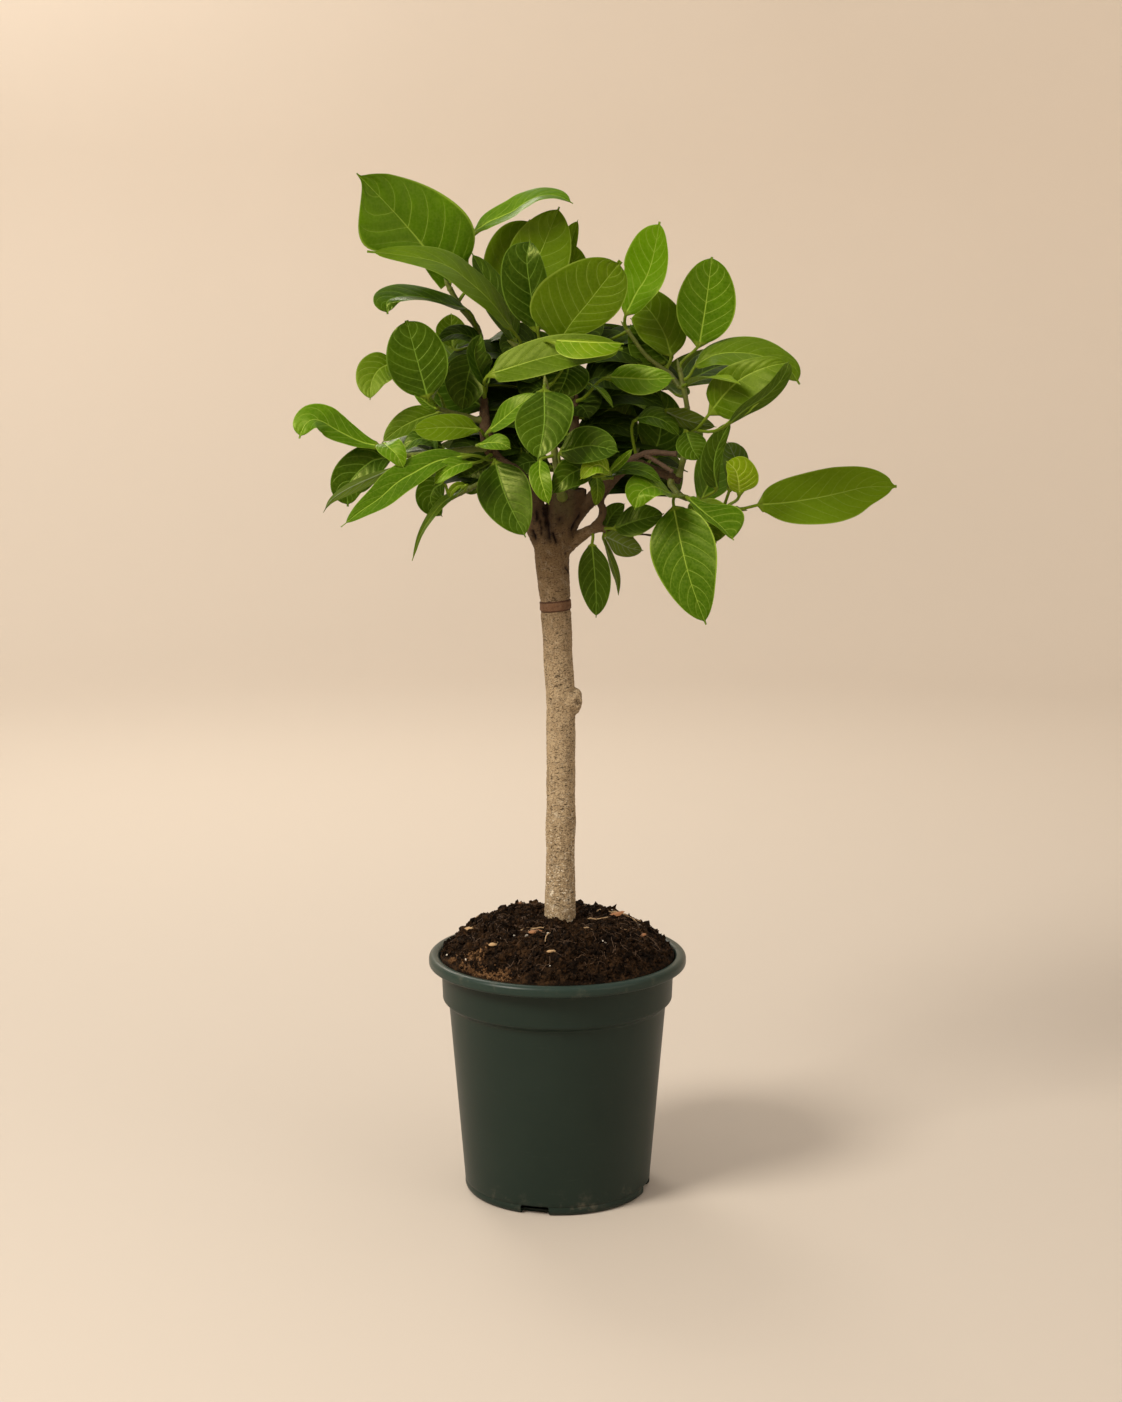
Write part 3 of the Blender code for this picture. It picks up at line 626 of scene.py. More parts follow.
def turn_matrix(angles):
    """A turn about X, then Y, then Z, for points kept as rows."""
    (cx, sx), (cy, sy), (cz, sz) = [(math.cos(a), math.sin(a)) for a in angles]
    about_x = np.array(((1, 0, 0), (0, cx, sx), (0, -sx, cx)))
    about_y = np.array(((cy, 0, -sy), (0, 1, 0), (sy, 0, cy)))
    about_z = np.array(((cz, sz, 0), (-sz, cz, 0), (0, 0, 1)))
    return about_x @ about_y @ about_z


def merged(name, copies):
    """One mesh from many (points in millimetres, faces)."""
    points, faces, count = [], [], 0
    for copy_points, copy_faces in copies:
        points.append(copy_points)
        faces += (copy_faces + count).tolist()
        count += len(copy_points)
    mesh = bpy.data.meshes.new(name)
    mesh.from_pydata(np.concatenate(points) * MM, [], faces)
    mesh.update()
    piece = bpy.data.objects.new(name, mesh)
    bpy.context.scene.collection.objects.link(piece)
    return piece


def scatter(name, shapes, rng, count, sizes, flat, sink, spread=None):
    """Copies of the shapes strewn over the soil, or round the places that spread lists."""
    copies = []
    for _ in range(count):
        if spread:
            x0, y0, reach = rng.choice(spread)
            x, y = rng.gauss(x0, reach), rng.gauss(y0, reach)
        else:
            radius = (SOIL_RADIUS - 2.0) * math.sqrt(rng.random())
            angle = rng.uniform(0, math.tau)
            x, y = radius * math.cos(angle), radius * math.sin(angle)
        size = sizes[0] + (sizes[1] - sizes[0]) * rng.random() ** SMALL_FIRST
        limit = SOIL_RADIUS - 0.6 * size
        if math.hypot(x, y) > limit or math.hypot(x - TRUNK_X, y) < TRUNK_HOLE:
            continue
        points, faces = shapes[rng.randrange(len(shapes))]
        angles = [rng.uniform(0, math.tau) for _ in range(3)]
        stretch = (rng.uniform(0.7, 1.35), rng.uniform(0.7, 1.1), rng.uniform(flat, 1.0))
        points = (points * stretch * size / 2) @ turn_matrix(angles)
        copies.append((points + (x, y, soil_surface(x, y) + size * sink), faces))
    return merged(name, copies)


rng = random.Random(12)
torn = masters("crumb", count=6, subdivisions=1, wildness=1.1, seed=3.0)
clumps = masters("clump", count=5, subdivisions=2, wildness=1.3, seed=8.0)
# Places are (x, y, how far the crumbs stray from it)
tan_places = [(-87, -76, 4), (-77, -86, 4), (-65, -94, 4), (-53, -101, 4), (-106, -48, 3), (-84, -66, 6)]
foot_places = [(TRUNK_X + FOOT_RING * math.cos(index), FOOT_RING * math.sin(index), 1.6)
               for index in range(24)]
soil_crumbs = scatter("soil_crumbs", torn, rng, count=4300, sizes=(1.6, 6.6), flat=0.4, sink=0.13)
soil_clumps = scatter("soil_clumps", clumps, rng, count=420, sizes=(4.0, 10.0), flat=0.4, sink=0.12)
tan_crumbs = scatter("tan_crumbs", torn, rng, count=1100, sizes=(1.0, 3.4), flat=0.4, sink=0.20,
                     spread=tan_places)
perlite = scatter("perlite", torn, rng, count=46, sizes=(1.4, 3.4), flat=0.8, sink=0.30)
foot_crumbs = scatter("foot_crumbs", torn, rng, count=300, sizes=(2.4, 7.6), flat=0.5, sink=0.42,
                      spread=foot_places)
for loose, peat_kind in ((soil_crumbs, peat_dark), (soil_clumps, peat_dark), (foot_crumbs, peat_dark),
                         (tan_crumbs, peat_tan)):
    finish_piece(loose, [peat_kind], "potting_soil")
    shade_smooth(loose, CRUMB_ANGLE)
print("crumbs", [len(o.data.polygons) for o in (soil_crumbs, soil_clumps, tan_crumbs, foot_crumbs)])

# %% [markdown]
# Potting soil also holds things that are not peat: fine roots, bits of straw, flat chips of bark and
# white perlite. A root or a straw is a thin tube through points that wander over the soil, and a chip
# is a torn master pressed flat. The perlite is made of the crumbs' own masters, a little rounder.

# %% Perlite, straws, roots and chips
STRAND_SIDES = 5
STRAND_END = 0.45
FIBRE_SPANS = 9
FIBRE_REACH = 104
FIBRE_HOLE = 16
DEBRIS_ANGLE = 60


def plain_finish(name, dark, light, roughness, size=2.0, depth=0.2):
    """A dry natural surface with cloudy variation between two colours."""
    finish = Finish(name, Roughness=roughness)
    cloud = finish.grain(size, 4.0, 0.6)
    finish.colour(finish.mix(cloud, dark, light))
    finish.relief(cloud, depth)
    return finish.material


def strand(points, radius):
    """A thin round fibre through points in millimetres, as points and faces."""
    path = [Vector(p) for p in points]
    rings, faces = [], []
    for i, spot in enumerate(path):
        ahead, behind = path[min(i + 1, len(path) - 1)], path[max(i - 1, 0)]
        along = (ahead - behind).normalized()
        side = along.cross(Vector((0.1, 0.2, 1.0))).normalized()
        up = side.cross(along)
        thin = radius * (STRAND_END if i in (0, len(path) - 1) else 1.0)
        for k in range(STRAND_SIDES):
            a = math.tau * k / STRAND_SIDES
            rings.append(spot + (side * math.cos(a) + up * math.sin(a)) * thin)
    for i in range(len(path) - 1):
        for k in range(STRAND_SIDES):
            a, b = i * STRAND_SIDES + k, i * STRAND_SIDES + (k + 1) % STRAND_SIDES
            faces.append((a, b, b + STRAND_SIDES))
            faces.append((a, b + STRAND_SIDES, a + STRAND_SIDES))
    last = (len(path) - 1) * STRAND_SIDES
    for k in range(1, STRAND_SIDES - 1):
        faces.append((0, k + 1, k))
        faces.append((last, last + k, last + k + 1))
    return np.array([tuple(r) for r in rings]), np.array(faces)


def wandering(rng, length, radius, bend, start=None, heading=None, lift=0.5):
    """A fibre that lies on the soil and wanders about."""
    if start is None:
        reach = FIBRE_REACH * math.sqrt(rng.random())
        angle = rng.uniform(0, math.tau)
        start = (reach * math.cos(angle), reach * math.sin(angle))
    x, y = start
    heading = rng.uniform(0, math.tau) if heading is None else heading
    step = length / FIBRE_SPANS
    hump = rng.uniform(0.0, 2.5)
    points = []
    for i in range(FIBRE_SPANS + 1):
        height = soil_surface(x, y) + lift + hump * math.sin(math.pi * i / FIBRE_SPANS)
        points.append((x, y, height))
        heading += rng.gauss(0, bend)
        nx, ny = x + step * math.cos(heading), y + step * math.sin(heading)
        if math.hypot(nx, ny) < SOIL_RADIUS - 4 and math.hypot(nx - TRUNK_X, ny) > FIBRE_HOLE:
            x, y = nx, ny
        else:  # it would run into the wall or the trunk, so it turns away
            heading += 1.2
            x, y = x + 0.3 * step * math.cos(heading), y + 0.3 * step * math.sin(heading)
    return strand(points, radius)


roots = merged("fine_roots", [wandering(rng, rng.uniform(8, 34), rng.uniform(0.18, 0.42), 0.55)
                              for _ in range(330)])
# Straws: x, y, heading, length and radius
straw_runs = ((-47, -44, 0.25, 34, 0.75), (-30, -42, 0.15, 20, 0.9), (18, -10, 0.3, 46, 0.8),
              (-95, 32, 0.5, 24, 0.6), (26, -40, -0.7, 12, 0.7), (60, -30, 0.9, 18, 0.5),
              (-12, -70, 1.4, 13, 0.6), (52, 18, -0.3, 30, 0.8), (-60, 62, 0.2, 40, 0.7),
              (30, 70, 2.6, 36, 0.8), (70, 50, -1.1, 28, 0.6), (-20, 88, 0.4, 30, 0.7))
straws = merged("straws", [wandering(rng, length, thick, 0.10, (x, y), heading, 1.1)
                           for x, y, heading, length, thick in straw_runs])
chips = masters("chip", count=4, subdivisions=2, wildness=0.5, seed=21.0)
# Chips: x, y, length and heading
CHIP_TILT = (0.25, -0.15)
CHIP_THICKNESS = 1.3
CHIP_LIFT = 1.6
chip_places = ((-62, -60, 13, 0.7), (-22, -52, 14, 0.4), (-88, 8, 14, -0.2), (60, 10, 15, 0.2),
               (44, 22, 10, -0.5), (-40, 60, 12, 1.0), (12, 84, 13, 2.0), (86, -20, 9, 0.9),
               (-6, -86, 9, 0.3))


def lay_chips(name, places):
    """Flat chips of bark that lie tilted on the soil."""
    copies = []
    for index, (x, y, size, heading) in enumerate(places):
        points, faces = chips[index % len(chips)]
        shaped = points * (size / 2, size / 4.4, CHIP_THICKNESS) @ turn_matrix((*CHIP_TILT, heading))
        copies.append((shaped + (x, y, soil_surface(x, y) + CHIP_LIFT), faces))
    return merged(name, copies)


orange_chips = lay_chips("orange_bark_chips", chip_places[1::2])
pale_chips = lay_chips("pale_bark_chips", chip_places[0::2])
# Each kind: piece, finish, dark colour, light colour and roughness
for loose, finish_name, dark, light, roughness in (
        (roots, "root_fibre", (0.030, 0.014, 0.006), (0.115, 0.062, 0.028), 0.8),
        (straws, "dry_straw", (0.22, 0.13, 0.06), (0.50, 0.34, 0.18), 0.7),
        (orange_chips, "orange_chip", (0.17, 0.065, 0.025), (0.36, 0.17, 0.07), 0.8),
        (pale_chips, "pale_chip", (0.30, 0.18, 0.08), (0.55, 0.37, 0.19), 0.8),
        (perlite, "perlite_white", (0.55, 0.49, 0.40), (0.80, 0.75, 0.66), 0.9)):
    finish_piece(loose, [plain_finish(finish_name, dark, light, roughness)], "potting_soil")
    shade_smooth(loose, DEBRIS_ANGLE)
    print(loose.name, len(loose.data.polygons), "faces")

# %% [markdown]
# ## The wood
#
# Trunk, pruning knot and limbs grew as one piece, so they end up as one skin. Each starts as the same
# round rod, a cylinder that is cut into many loops and then laid along its own path. The rods are
# joined, and a voxel remesh melts them together, which rounds every fork the way bark grows over it.
# The paths are the CAD model's own, with more steps between their points.

# %% Paths of the wood and the shoots
# Along each: (x, z, y, radius)
TRUNK = ((3, 205, 0, 17), (3, 240, 0, 17.5), (3, 282, 0, 15.6), (3, 330, 0, 14.6), (3.5, 480, 0, 14.3),
         (0.5, 550, 0, 14.2), (-2, 600, 0, 14.8), (-5, 640, 0, 17), (-4, 658, 0, 18), (1, 674, 1, 14.5),
         (4, 689, 2, 15.5), (8, 703, 2, 18.5), (9, 711, 2, 19))
KNOT = ((6, 500, 0, 14), (14, 501, -1, 14), (20, 502, -2, 12), (24, 502, -2, 7))
LIMBS = {
    "limb_left": ((-10, 650, 0, 10), (-21, 672, -3, 10.5), (-24, 700, -5, 10.5), (-42, 724, -6, 8),
                  (-60, 740, -6, 6.5), (-69, 762, -3, 5.5), (-71, 800, 6, 4)),
    "limb_right": ((0, 652, 0, 9), (15, 678, -1, 7), (31, 697, -2, 6.6), (50, 718, -4, 6.4),
                   (74, 734, -6, 5.5), (94, 728, -8, 5), (120, 718, -12, 4)),
    "limb_low": ((2, 647, -2, 8), (10, 654, -4, 7), (22, 664, -7, 6), (34, 671, -8, 4.6),
                 (46, 671, -9, 3.4), (61, 667, -10, 2.8), (75, 664, -11, 2.2)),
    "limb_low_rise": ((32, 669, -8, 4.4), (42, 681, -8, 4), (44, 690, -7, 3.6), (42, 698, -6, 3.4),
                      (48, 709, -2, 3.2), (57, 720, 2, 3)),
    "leader": ((8, 695, 4, 10), (13, 730, 6, 7), (17, 775, 8, 4.5), (15, 810, 10, 4), (4, 842, 12, 3.4),
               (-3, 868, 16, 2.8)),
}

# Green shoots: carrier, place (x, z) on the carrier, then (x, z, y, radius) along the shoot
SHOOTS = {
    "shoot_top_left": ("limb_left", (-71, 795), ((-73, 828, 18, 3.6), (-76, 862, 20, 3.2),
        (-93, 885, 16, 2.8), (-103, 902, 12, 2.5))),
    "shoot_left": ("limb_left", (-66, 752), ((-88, 748, -22, 3.2), (-118, 745, -38, 2.9),
        (-150, 742, -48, 2.4))),
    "shoot_left_high": ("limb_left", (-70, 776), ((-86, 780, -4, 2.8), (-103, 784, -12, 2.5),
        (-116, 788, -18, 2.2))),
    "shoot_young": ("limb_left", (-50, 730), ((-68, 719, -12, 2.8), (-86, 710, -20, 2.5),
        (-106, 700, -26, 2.2))),
    "shoot_top": ("leader", (16, 800), ((2, 816, 2, 3.0), (-20, 834, -4, 2.8), (-39, 847, -8, 2.4))),
    "shoot_right": ("limb_right", (117, 719), ((122, 738, -14, 3.0), (127, 763, -14, 2.8),
        (126, 786, -10, 2.6), (121, 812, -8, 2.4), (118, 825, -6, 2.2))),
    "shoot_right_top": ("shoot_right", (122, 808), ((109, 821, 4, 2.2), (86, 838, 8, 2.1),
        (68, 862, 8, 2.0))),
    "shoot_right_low": ("limb_right", (112, 721), ((118, 704, -20, 2.9), (136, 698, -24, 2.7),
        (156, 694, -22, 2.4), (174, 691, -18, 2.2))),
    "shoot_front": ("trunk", (6, 704), ((2, 716, -44, 4.2), (-2, 742, -62, 3.6), (-8, 780, -70, 3.0),
        (-11, 808, -74, 2.6))),
    "shoot_back": ("leader", (13, 728), ((16, 742, 42, 4.2), (14, 775, 84, 3.8), (8, 822, 108, 3.2),
        (2, 850, 118, 2.8))),
    "shoot_back_left": ("limb_left", (-46, 726), ((-62, 738, 30, 3.8), (-86, 768, 68, 3.4),
        (-104, 806, 90, 3.0), (-110, 832, 98, 2.6))),
    "shoot_back_right": ("limb_right", (66, 729), ((72, 740, 30, 3.8), (84, 768, 68, 3.4),
        (98, 806, 90, 3.0), (100, 832, 98, 2.6))),
}
print("limbs", len(LIMBS), "and shoots", len(SHOOTS))

# %% [markdown]
# A few points are enough for a path, because a smooth curve is drawn through them. A rod is laid
# along it ring by ring. The side direction of each ring is carried on from the last one, so that
# the rod never twists, and a stalk or shoot starts on the surface of what carries it.

# %% Laying a rod along a path
PATH_STEPS = 6
SEAT_STEPS = 4
GAP = 0.3


def on_curve(a, b, c, d, t):
    """A place at the share t of the smooth stretch from b to c, with a before it and d after."""
    return 0.5 * (2 * b + (c - a) * t + (2 * a - 5 * b + 4 * c - d) * t ** 2
                  + (3 * b - a - 3 * c + d) * t ** 3)


def smooth_path(points):
    """Points (place, radius) along a smooth curve through the given (x, z, y, radius)."""
    known = [(place(point[:3]), point[3]) for point in points]
    before = (known[0][0] * 2 - known[1][0], known[0][1])
    after = (known[-1][0] * 2 - known[-2][0], known[-1][1])
    known = [before] + known + [after]
    path = []
    for i in range(1, len(known) - 2):
        (a, _), (b, rb), (c, rc), (d, _) = known[i - 1:i + 3]
        for step in range(PATH_STEPS):
            t = step / PATH_STEPS
            path.append((on_curve(a, b, c, d, t), rb + (rc - rb) * t))
    path.append(known[-2])
    return path


def carrier_seat(path, hint, target):
    """Where a stalk leaves its carrier: a point on the bark and the way out of it."""
    best, closest = None, 1e9
    for i in range(len(path) - 1):
        (a, ra), (b, rb) = path[i], path[i + 1]
        for step in range(SEAT_STEPS + 1):
            t = step / SEAT_STEPS
            spot = a.lerp(b, t)
            distance = (spot - (place((*hint, spot.y)) if hint else target)).length
            if distance < closest - 1e-6:
                closest = distance
                at_end = i == len(path) - 2 and step == SEAT_STEPS
                best = (spot, ra + (rb - ra) * t, (b - a).normalized(), at_end)
    spot, radius, along, at_end = best
    if at_end and hint:
        return spot + along * GAP, along
    outward = target - spot
    outward = (outward - along * outward.dot(along)).normalized()
    return spot + outward * (radius + GAP), outward


def stations(path, count):
    """Evenly spaced (place, direction, side, up, radius) along a path, with no sudden twist."""
    lengths = [0.0]
    for (a, _), (b, _) in zip(path, path[1:]):
        lengths.append(lengths[-1] + (b - a).length)
    made, side, index = [], None, 0
    for k in range(count):
        target = lengths[-1] * k / (count - 1)
        while index < len(path) - 2 and lengths[index + 1] < target:
            index += 1
        (a, ra), (b, rb) = path[index], path[index + 1]
        share = (target - lengths[index]) / max(lengths[index + 1] - lengths[index], 1e-6)
        along = (b - a).normalized()
        if side is None:
            side = along.cross(Vector((0.3, 1.0, 0.2))).normalized()
        side = (side - along * side.dot(along)).normalized()
        made.append((a.lerp(b, share), along, side, along.cross(side), ra + (rb - ra) * share))
    return made


def make_rod(name, sides, loops):
    """A round rod of radius 1 and height 1, cut into loops."""
    start_fresh()
    bpy.ops.mesh.primitive_cylinder_add(vertices=sides, radius=1.0, depth=1.0, location=(0.0, 0.0, 0.5))
    rod = named(name)
    bpy.ops.object.mode_set(mode="EDIT")
    bpy.ops.mesh.select_mode(type="EDGE")
    bpy.ops.mesh.select_all(action="DESELECT")
    bpy.ops.object.mode_set(mode="OBJECT")
    for edge in rod.data.edges:
        low, high = (rod.data.vertices[i].co.z for i in edge.vertices)
        edge.select = abs(low - high) > 0.5
    bpy.ops.object.mode_set(mode="EDIT")
    bpy.ops.mesh.subdivide(number_cuts=loops - 1)
    bpy.ops.mesh.select_mode(type="VERT")
    bpy.ops.object.mode_set(mode="OBJECT")
    return rod


def copy_of(master, name):
    """A copy with a mesh of its own."""
    start_fresh()
    master.hide_set(False)
    master.select_set(True)
    bpy.context.view_layer.objects.active = master
    bpy.ops.object.duplicate()
    piece = bpy.context.object
    piece.name = piece.data.name = name
    return piece


def lay_along(rod, path, loops, swell=None):
    """Lays a rod along a path; swell(mm from the start, whole length) scales its radius."""
    frames = stations(path, loops + 1)
    length = sum((b[0] - a[0]).length for a, b in zip(frames, frames[1:]))
    for vertex in rod.data.vertices:
        x, y, z = vertex.co
        spot, _, side, up, radius = frames[round(z * loops)]
        if swell:
            radius *= swell(z * length, length)
        vertex.co = (spot + (side * x + up * y) * radius) * MM
    return rod


paths = {"trunk": smooth_path(TRUNK)}
for limb, limb_points in LIMBS.items():
    paths[limb] = smooth_path(limb_points)
print("paths", list(paths))

# %% [markdown]
# Healed cuts leave rings of callus on fig bark, a tie has left a raised band, and the fork is full
# of crevices and small holes. Each is a simple sum over the place, so `bark_relief` can move every
# point of the skin along its normal. How deep a point lies in a crevice or between rings is kept as
# an attribute as well, because the finish paints shade into those places.

# %% Relief of the bark
FORK_FOOT = 655.0
# Levels of the painted shade: OUTSIDE away from every crevice, RING_DARK at most in the valleys between
# callus rings
OUTSIDE = -3.0
RING_DARK = 0.4
BAND_Z = 598.0
BAND_SLOPE = 0.10
BAND_HALF = 5.6
BAND_END = 22.0
# Healed cuts: centre, the way it faces, reach, ring spacing and depth
SCARS = (((16, 501, -4), (0.38, -0.92, 0.05), 12.0, 5.2, 0.8),
         ((-5, 484, -13), (-0.3, -0.95, 0.0), 6.0, 3.6, 0.5),
         ((-1, 453, -14), (-0.1, -1.0, 0.0), 6.5, 3.6, 0.5),
         ((9, 647, -10), (0.45, -0.88, 0.1), 14.0, 4.6, 1.1),
         ((-17, 668, -14), (-0.5, -0.85, 0.1), 6.0, 4.0, 0.8),
         ((12, 684, -20), (0.1, -1.0, 0.0), 4.0, 4.0, 0.9))
# Crevices and holes of the fork as seen from the front: lower and upper end (x, z), and reach
HOLLOWS = (((-8, 666), (-12, 694), 3.0), ((-19, 685), (-20, 692), 2.9), ((-22, 664), (-24, 672), 2.6),
           ((14, 672), (22, 690), 2.2), ((2, 683), (3, 686), 2.4), ((-1, 662), (-5, 672), 1.7),
           ((-15, 670), (-16, 682), 1.5), ((14, 640), (18, 652), 1.5), ((8, 636), (13, 630), 1.2))


def scar_relief(spot, centre, axis, reach, spacing, depth):
    """Rings of callus round a healed cut, seen only from the side that the cut faces."""
    away = spot - centre
    ahead = away.dot(axis)
    off = (away - axis * ahead).length
    if ahead <= 0 or off > reach:
        return 0.0
    rings = math.cos(math.tau * off / spacing) * (1.0 - off / reach)
    pit = -1.6 if off < 0.3 * spacing else 0.0
    return depth * (rings + pit)


def band_height(x):
    """The middle of the ring where a tie once sat, which runs slightly uphill to the right."""
    return BAND_Z + BAND_SLOPE * x


def hollow_at(spot):
    """1 in the middle of a crevice or hole of the fork, 0 at its rim and less beside it."""
    x, y, z = spot
    deepest = OUTSIDE
    for low, high, reach in HOLLOWS:
        a, b = Vector(low), Vector(high)
        here = Vector((x, z))
        share = min(1.0, max(0.0, (here - a).dot(b - a) / max((b - a).length_squared, 1e-6)))
        off = (here - a.lerp(b, share)).length + 1.6 * noise.noise(Vector((x / 3, y / 3, z / 5)))
        deepest = max(deepest, 1.0 - off / reach)
    return deepest if y < 0 else OUTSIDE


def ring_shade(spot):
    """Painted shade between callus rings: highest in their valleys, and as low as outside away from them."""
    valley = min(scar_relief(spot, place(centre), Vector(axis).normalized(), reach, spacing, 1.0)
                 for centre, axis, reach, spacing, _ in SCARS)
    return min(RING_DARK, OUTSIDE - 4.2 * valley)


def bark_relief(spot):
    """How far the bark stands out at a place, in millimetres."""
    x, y, z = spot
    lumps = noise.noise(Vector((x / 20, y / 20, z / 30))) * (1.0 if z < FORK_FOOT else 1.8)
    wrinkles = fractal(x / 6, y / 6, z / 2.4, 3) * 0.38
    grooves = fractal(x / 4.5, y / 4.5, z / 22 + 4, 2) * 0.45
    relief = lumps + wrinkles + grooves - 3.2 * max(0.0, hollow_at(spot))
    for centre, axis, reach, spacing, depth in SCARS:
        relief += scar_relief(spot, place(centre), Vector(axis).normalized(), reach, spacing, depth)
    from_band = abs(z - band_height(x))
    if x < BAND_END and from_band < BAND_HALF + 2.0:
        relief += 0.5 if from_band < BAND_HALF - 1.2 else -0.55
    return relief


print("healed cuts", len(SCARS), "and crevices", len(HOLLOWS))

# %% [markdown]
# Now the rods are joined and melted together. The remesh leaves small steps, which a few rounds of
# smoothing take off again, and only then is the relief of the bark added.

# %% Trunk, knot and limbs in one skin
WOOD_SIDES = 32
WOOD_LOOPS = 90
VOXEL = 1.25
SMOOTH_ROUNDS = 7
SMOOTH_LOSS = 0.15


def make_wood():
    """All woody parts as one skin, with the relief of the bark."""
    rod = make_rod("wood_rod", WOOD_SIDES, WOOD_LOOPS)
    parts = []
    for name, points in {"trunk": TRUNK, "knot": KNOT, **LIMBS}.items():
        parts.append(lay_along(copy_of(rod, "rod_" + name), smooth_path(points), WOOD_LOOPS))
    bpy.data.objects.remove(rod, do_unlink=True)
    start_fresh()
    for part in parts:
        part.select_set(True)
    bpy.context.view_layer.objects.active = parts[0]
    bpy.ops.object.join()
    wood = named("trunk_and_limbs")
    apply_modifier(wood, "REMESH", mode="VOXEL", voxel_size=VOXEL * MM)
    apply_modifier(wood, "SMOOTH", factor=0.5, iterations=SMOOTH_ROUNDS)
    normals = [vertex.normal.copy() for vertex in wood.data.vertices]
    # How deep each point lies in a crevice or between callus rings, kept for the painted shade of the finish
    hollows = [max(hollow_at(vertex.co / MM), ring_shade(vertex.co / MM)) for vertex in wood.data.vertices]
    wood.data.attributes.new("hollow_shade", "FLOAT", "POINT").data.foreach_set("value", hollows)
    for vertex, normal in zip(wood.data.vertices, normals):
        vertex.co += normal * (bark_relief(vertex.co / MM) + SMOOTH_LOSS) * MM
    shade_smooth(wood)
    return wood


wood = make_wood()
print("wood", len(wood.data.polygons), "faces")

# %% [markdown]
# Fig bark is thin and beige, dotted with small cork pores and brown flecks. Low down it is washed
# nearly white in patches and flakes, under the crown it turns brown and darker, and on the young limbs
# it is dark and reddish. Part of the darkening under the crown is painted shade from the crown. The
# finish reads the height on the piece for that, and a slightly tilted band of red-brown marks where a
# tie once sat. The crevices, holes and ring valleys of the fork are painted dark as shade.

# %% Bark finish
def bark_finish():
    """Fig bark from beige at the foot to red-brown on the limbs."""
    finish = Finish("fig_bark", Roughness=0.82, Specular_IOR_Level=0.3)
    x, _, z = finish.parts(finish.place())
    mottle = finish.grain(13.0, 4.0, 0.6)
    fleck = finish.grain(1.7, 4.0, 0.75, finish.place((1.0, 1.0, 1.5)))
    pores = finish.grain(4.2, 3.0, 0.55, finish.place((1.0, 1.0, 2.4)))
    pore = finish.between(pores, 0.60, 0.68)
    washed = finish.between(finish.grain(8.0, 5.0, 0.7), 0.52, 0.68)
    # Under the crown the bark is browner and darker; the darker part is painted shade thrown by the crown.
    high = finish.between(z, 0.500, 0.655)
    limb = finish.between(z, 0.655, 0.700)
    low = 1 - finish.between(z, 0.285, 0.470)
    streaks = finish.grain(5.0, 4.0, 0.6, finish.place((1.0, 1.0, 0.16)))
    beige = finish.mix(mottle, (0.28, 0.195, 0.105), (0.56, 0.435, 0.275))
    brown = finish.mix(mottle, (0.105, 0.062, 0.024), (0.235, 0.155, 0.078))
    ruddy = finish.mix(mottle, (0.030, 0.014, 0.005), (0.100, 0.056, 0.021))
    base = finish.mix(high, beige, brown)
    base = finish.mix(limb, base, ruddy)
    stub = finish.between(z, 0.672, 0.696) * (1 - finish.between(abs(x - 0.006), 0.007, 0.013))
    stub_colour = finish.mix(mottle, (0.040, 0.034, 0.010), (0.110, 0.092, 0.030))
    base = finish.mix(stub * 0.7, base, stub_colour)
    flakes = finish.between(finish.grain(3.4, 3.0, 0.5, finish.place((1.0, 1.0, 1.6))), 0.60, 0.66)
    flaky = low * (1 - finish.between(abs(z - 0.335), 0.05, 0.12)) + 0.25 * (1 - high)
    off = abs(z - (BAND_Z * MM) - x * BAND_SLOPE)
    near = 1 - finish.between(x, 0.016, BAND_END * MM)
    band = (1 - finish.between(off, (BAND_HALF - 0.6) * MM, BAND_HALF * MM)) * near
    rim = band * finish.between(off, (BAND_HALF - 2.2) * MM, (BAND_HALF - 1.0) * MM)
    # Painted shade: the crevices, holes and ring valleys are darkened, and softly also the bark just around
    # them.
    hollow_shade = Value(finish, finish.attribute("hollow_shade", "Fac"))
    finish.colour(finish.layers(
        base,
        (washed * ((1 - limb) * 0.15 + low * 0.60), (0.64, 0.56, 0.43)),
        (finish.between(streaks, 0.50, 0.72) * 0.35, (0.120, 0.074, 0.034)),
        (finish.between(fleck, 0.50, 0.57) * 0.68, (0.075, 0.048, 0.022)),
        (pore * 0.85, (0.045, 0.026, 0.011)),
        (flakes * flaky * 0.8, (0.72, 0.64, 0.50)),
        (band * 0.72, (0.130, 0.052, 0.024)),
        (rim * 0.85, (0.038, 0.013, 0.006)),
        (finish.between(hollow_shade, -2.2, RING_DARK) * 0.55, (0.040, 0.020, 0.009)),
        (finish.between(hollow_shade, 0.10, 0.95), (0.016, 0.006, 0.003))))
    finish.relief(mottle * 0.5 + fleck * 0.9 + streaks * 0.9 - pore * 0.7, 1.1)
    return finish.material


bark = bark_finish()
finish_piece(wood, [bark], "bark", "trunk")

# %% [markdown]
# ## The green shoots
#
# Shoots are last year's growth: brownish green, with a ring at every place where a leaf or its
# sheath once sat, and a pointed bud at the end. One rod is the master for all of them. Its radius
# swells at each ring and runs out to a point in the last few millimetres.

# %% Shoots
SHOOT_SIDES = 16
SHOOT_LOOPS = 110
RING_SPACING = 10.5
RING_SWELL = 0.13
FOOT_SWELL = 0.35
COLLAR_SWELL = 0.28
BUD_LENGTH = 12.0
SHOOT_SINK = 1.2


def bump_at(off, width):
    """A round bump: 1 at its middle and nearly 0 two widths off."""
    return math.exp(-(off / width) ** 2)


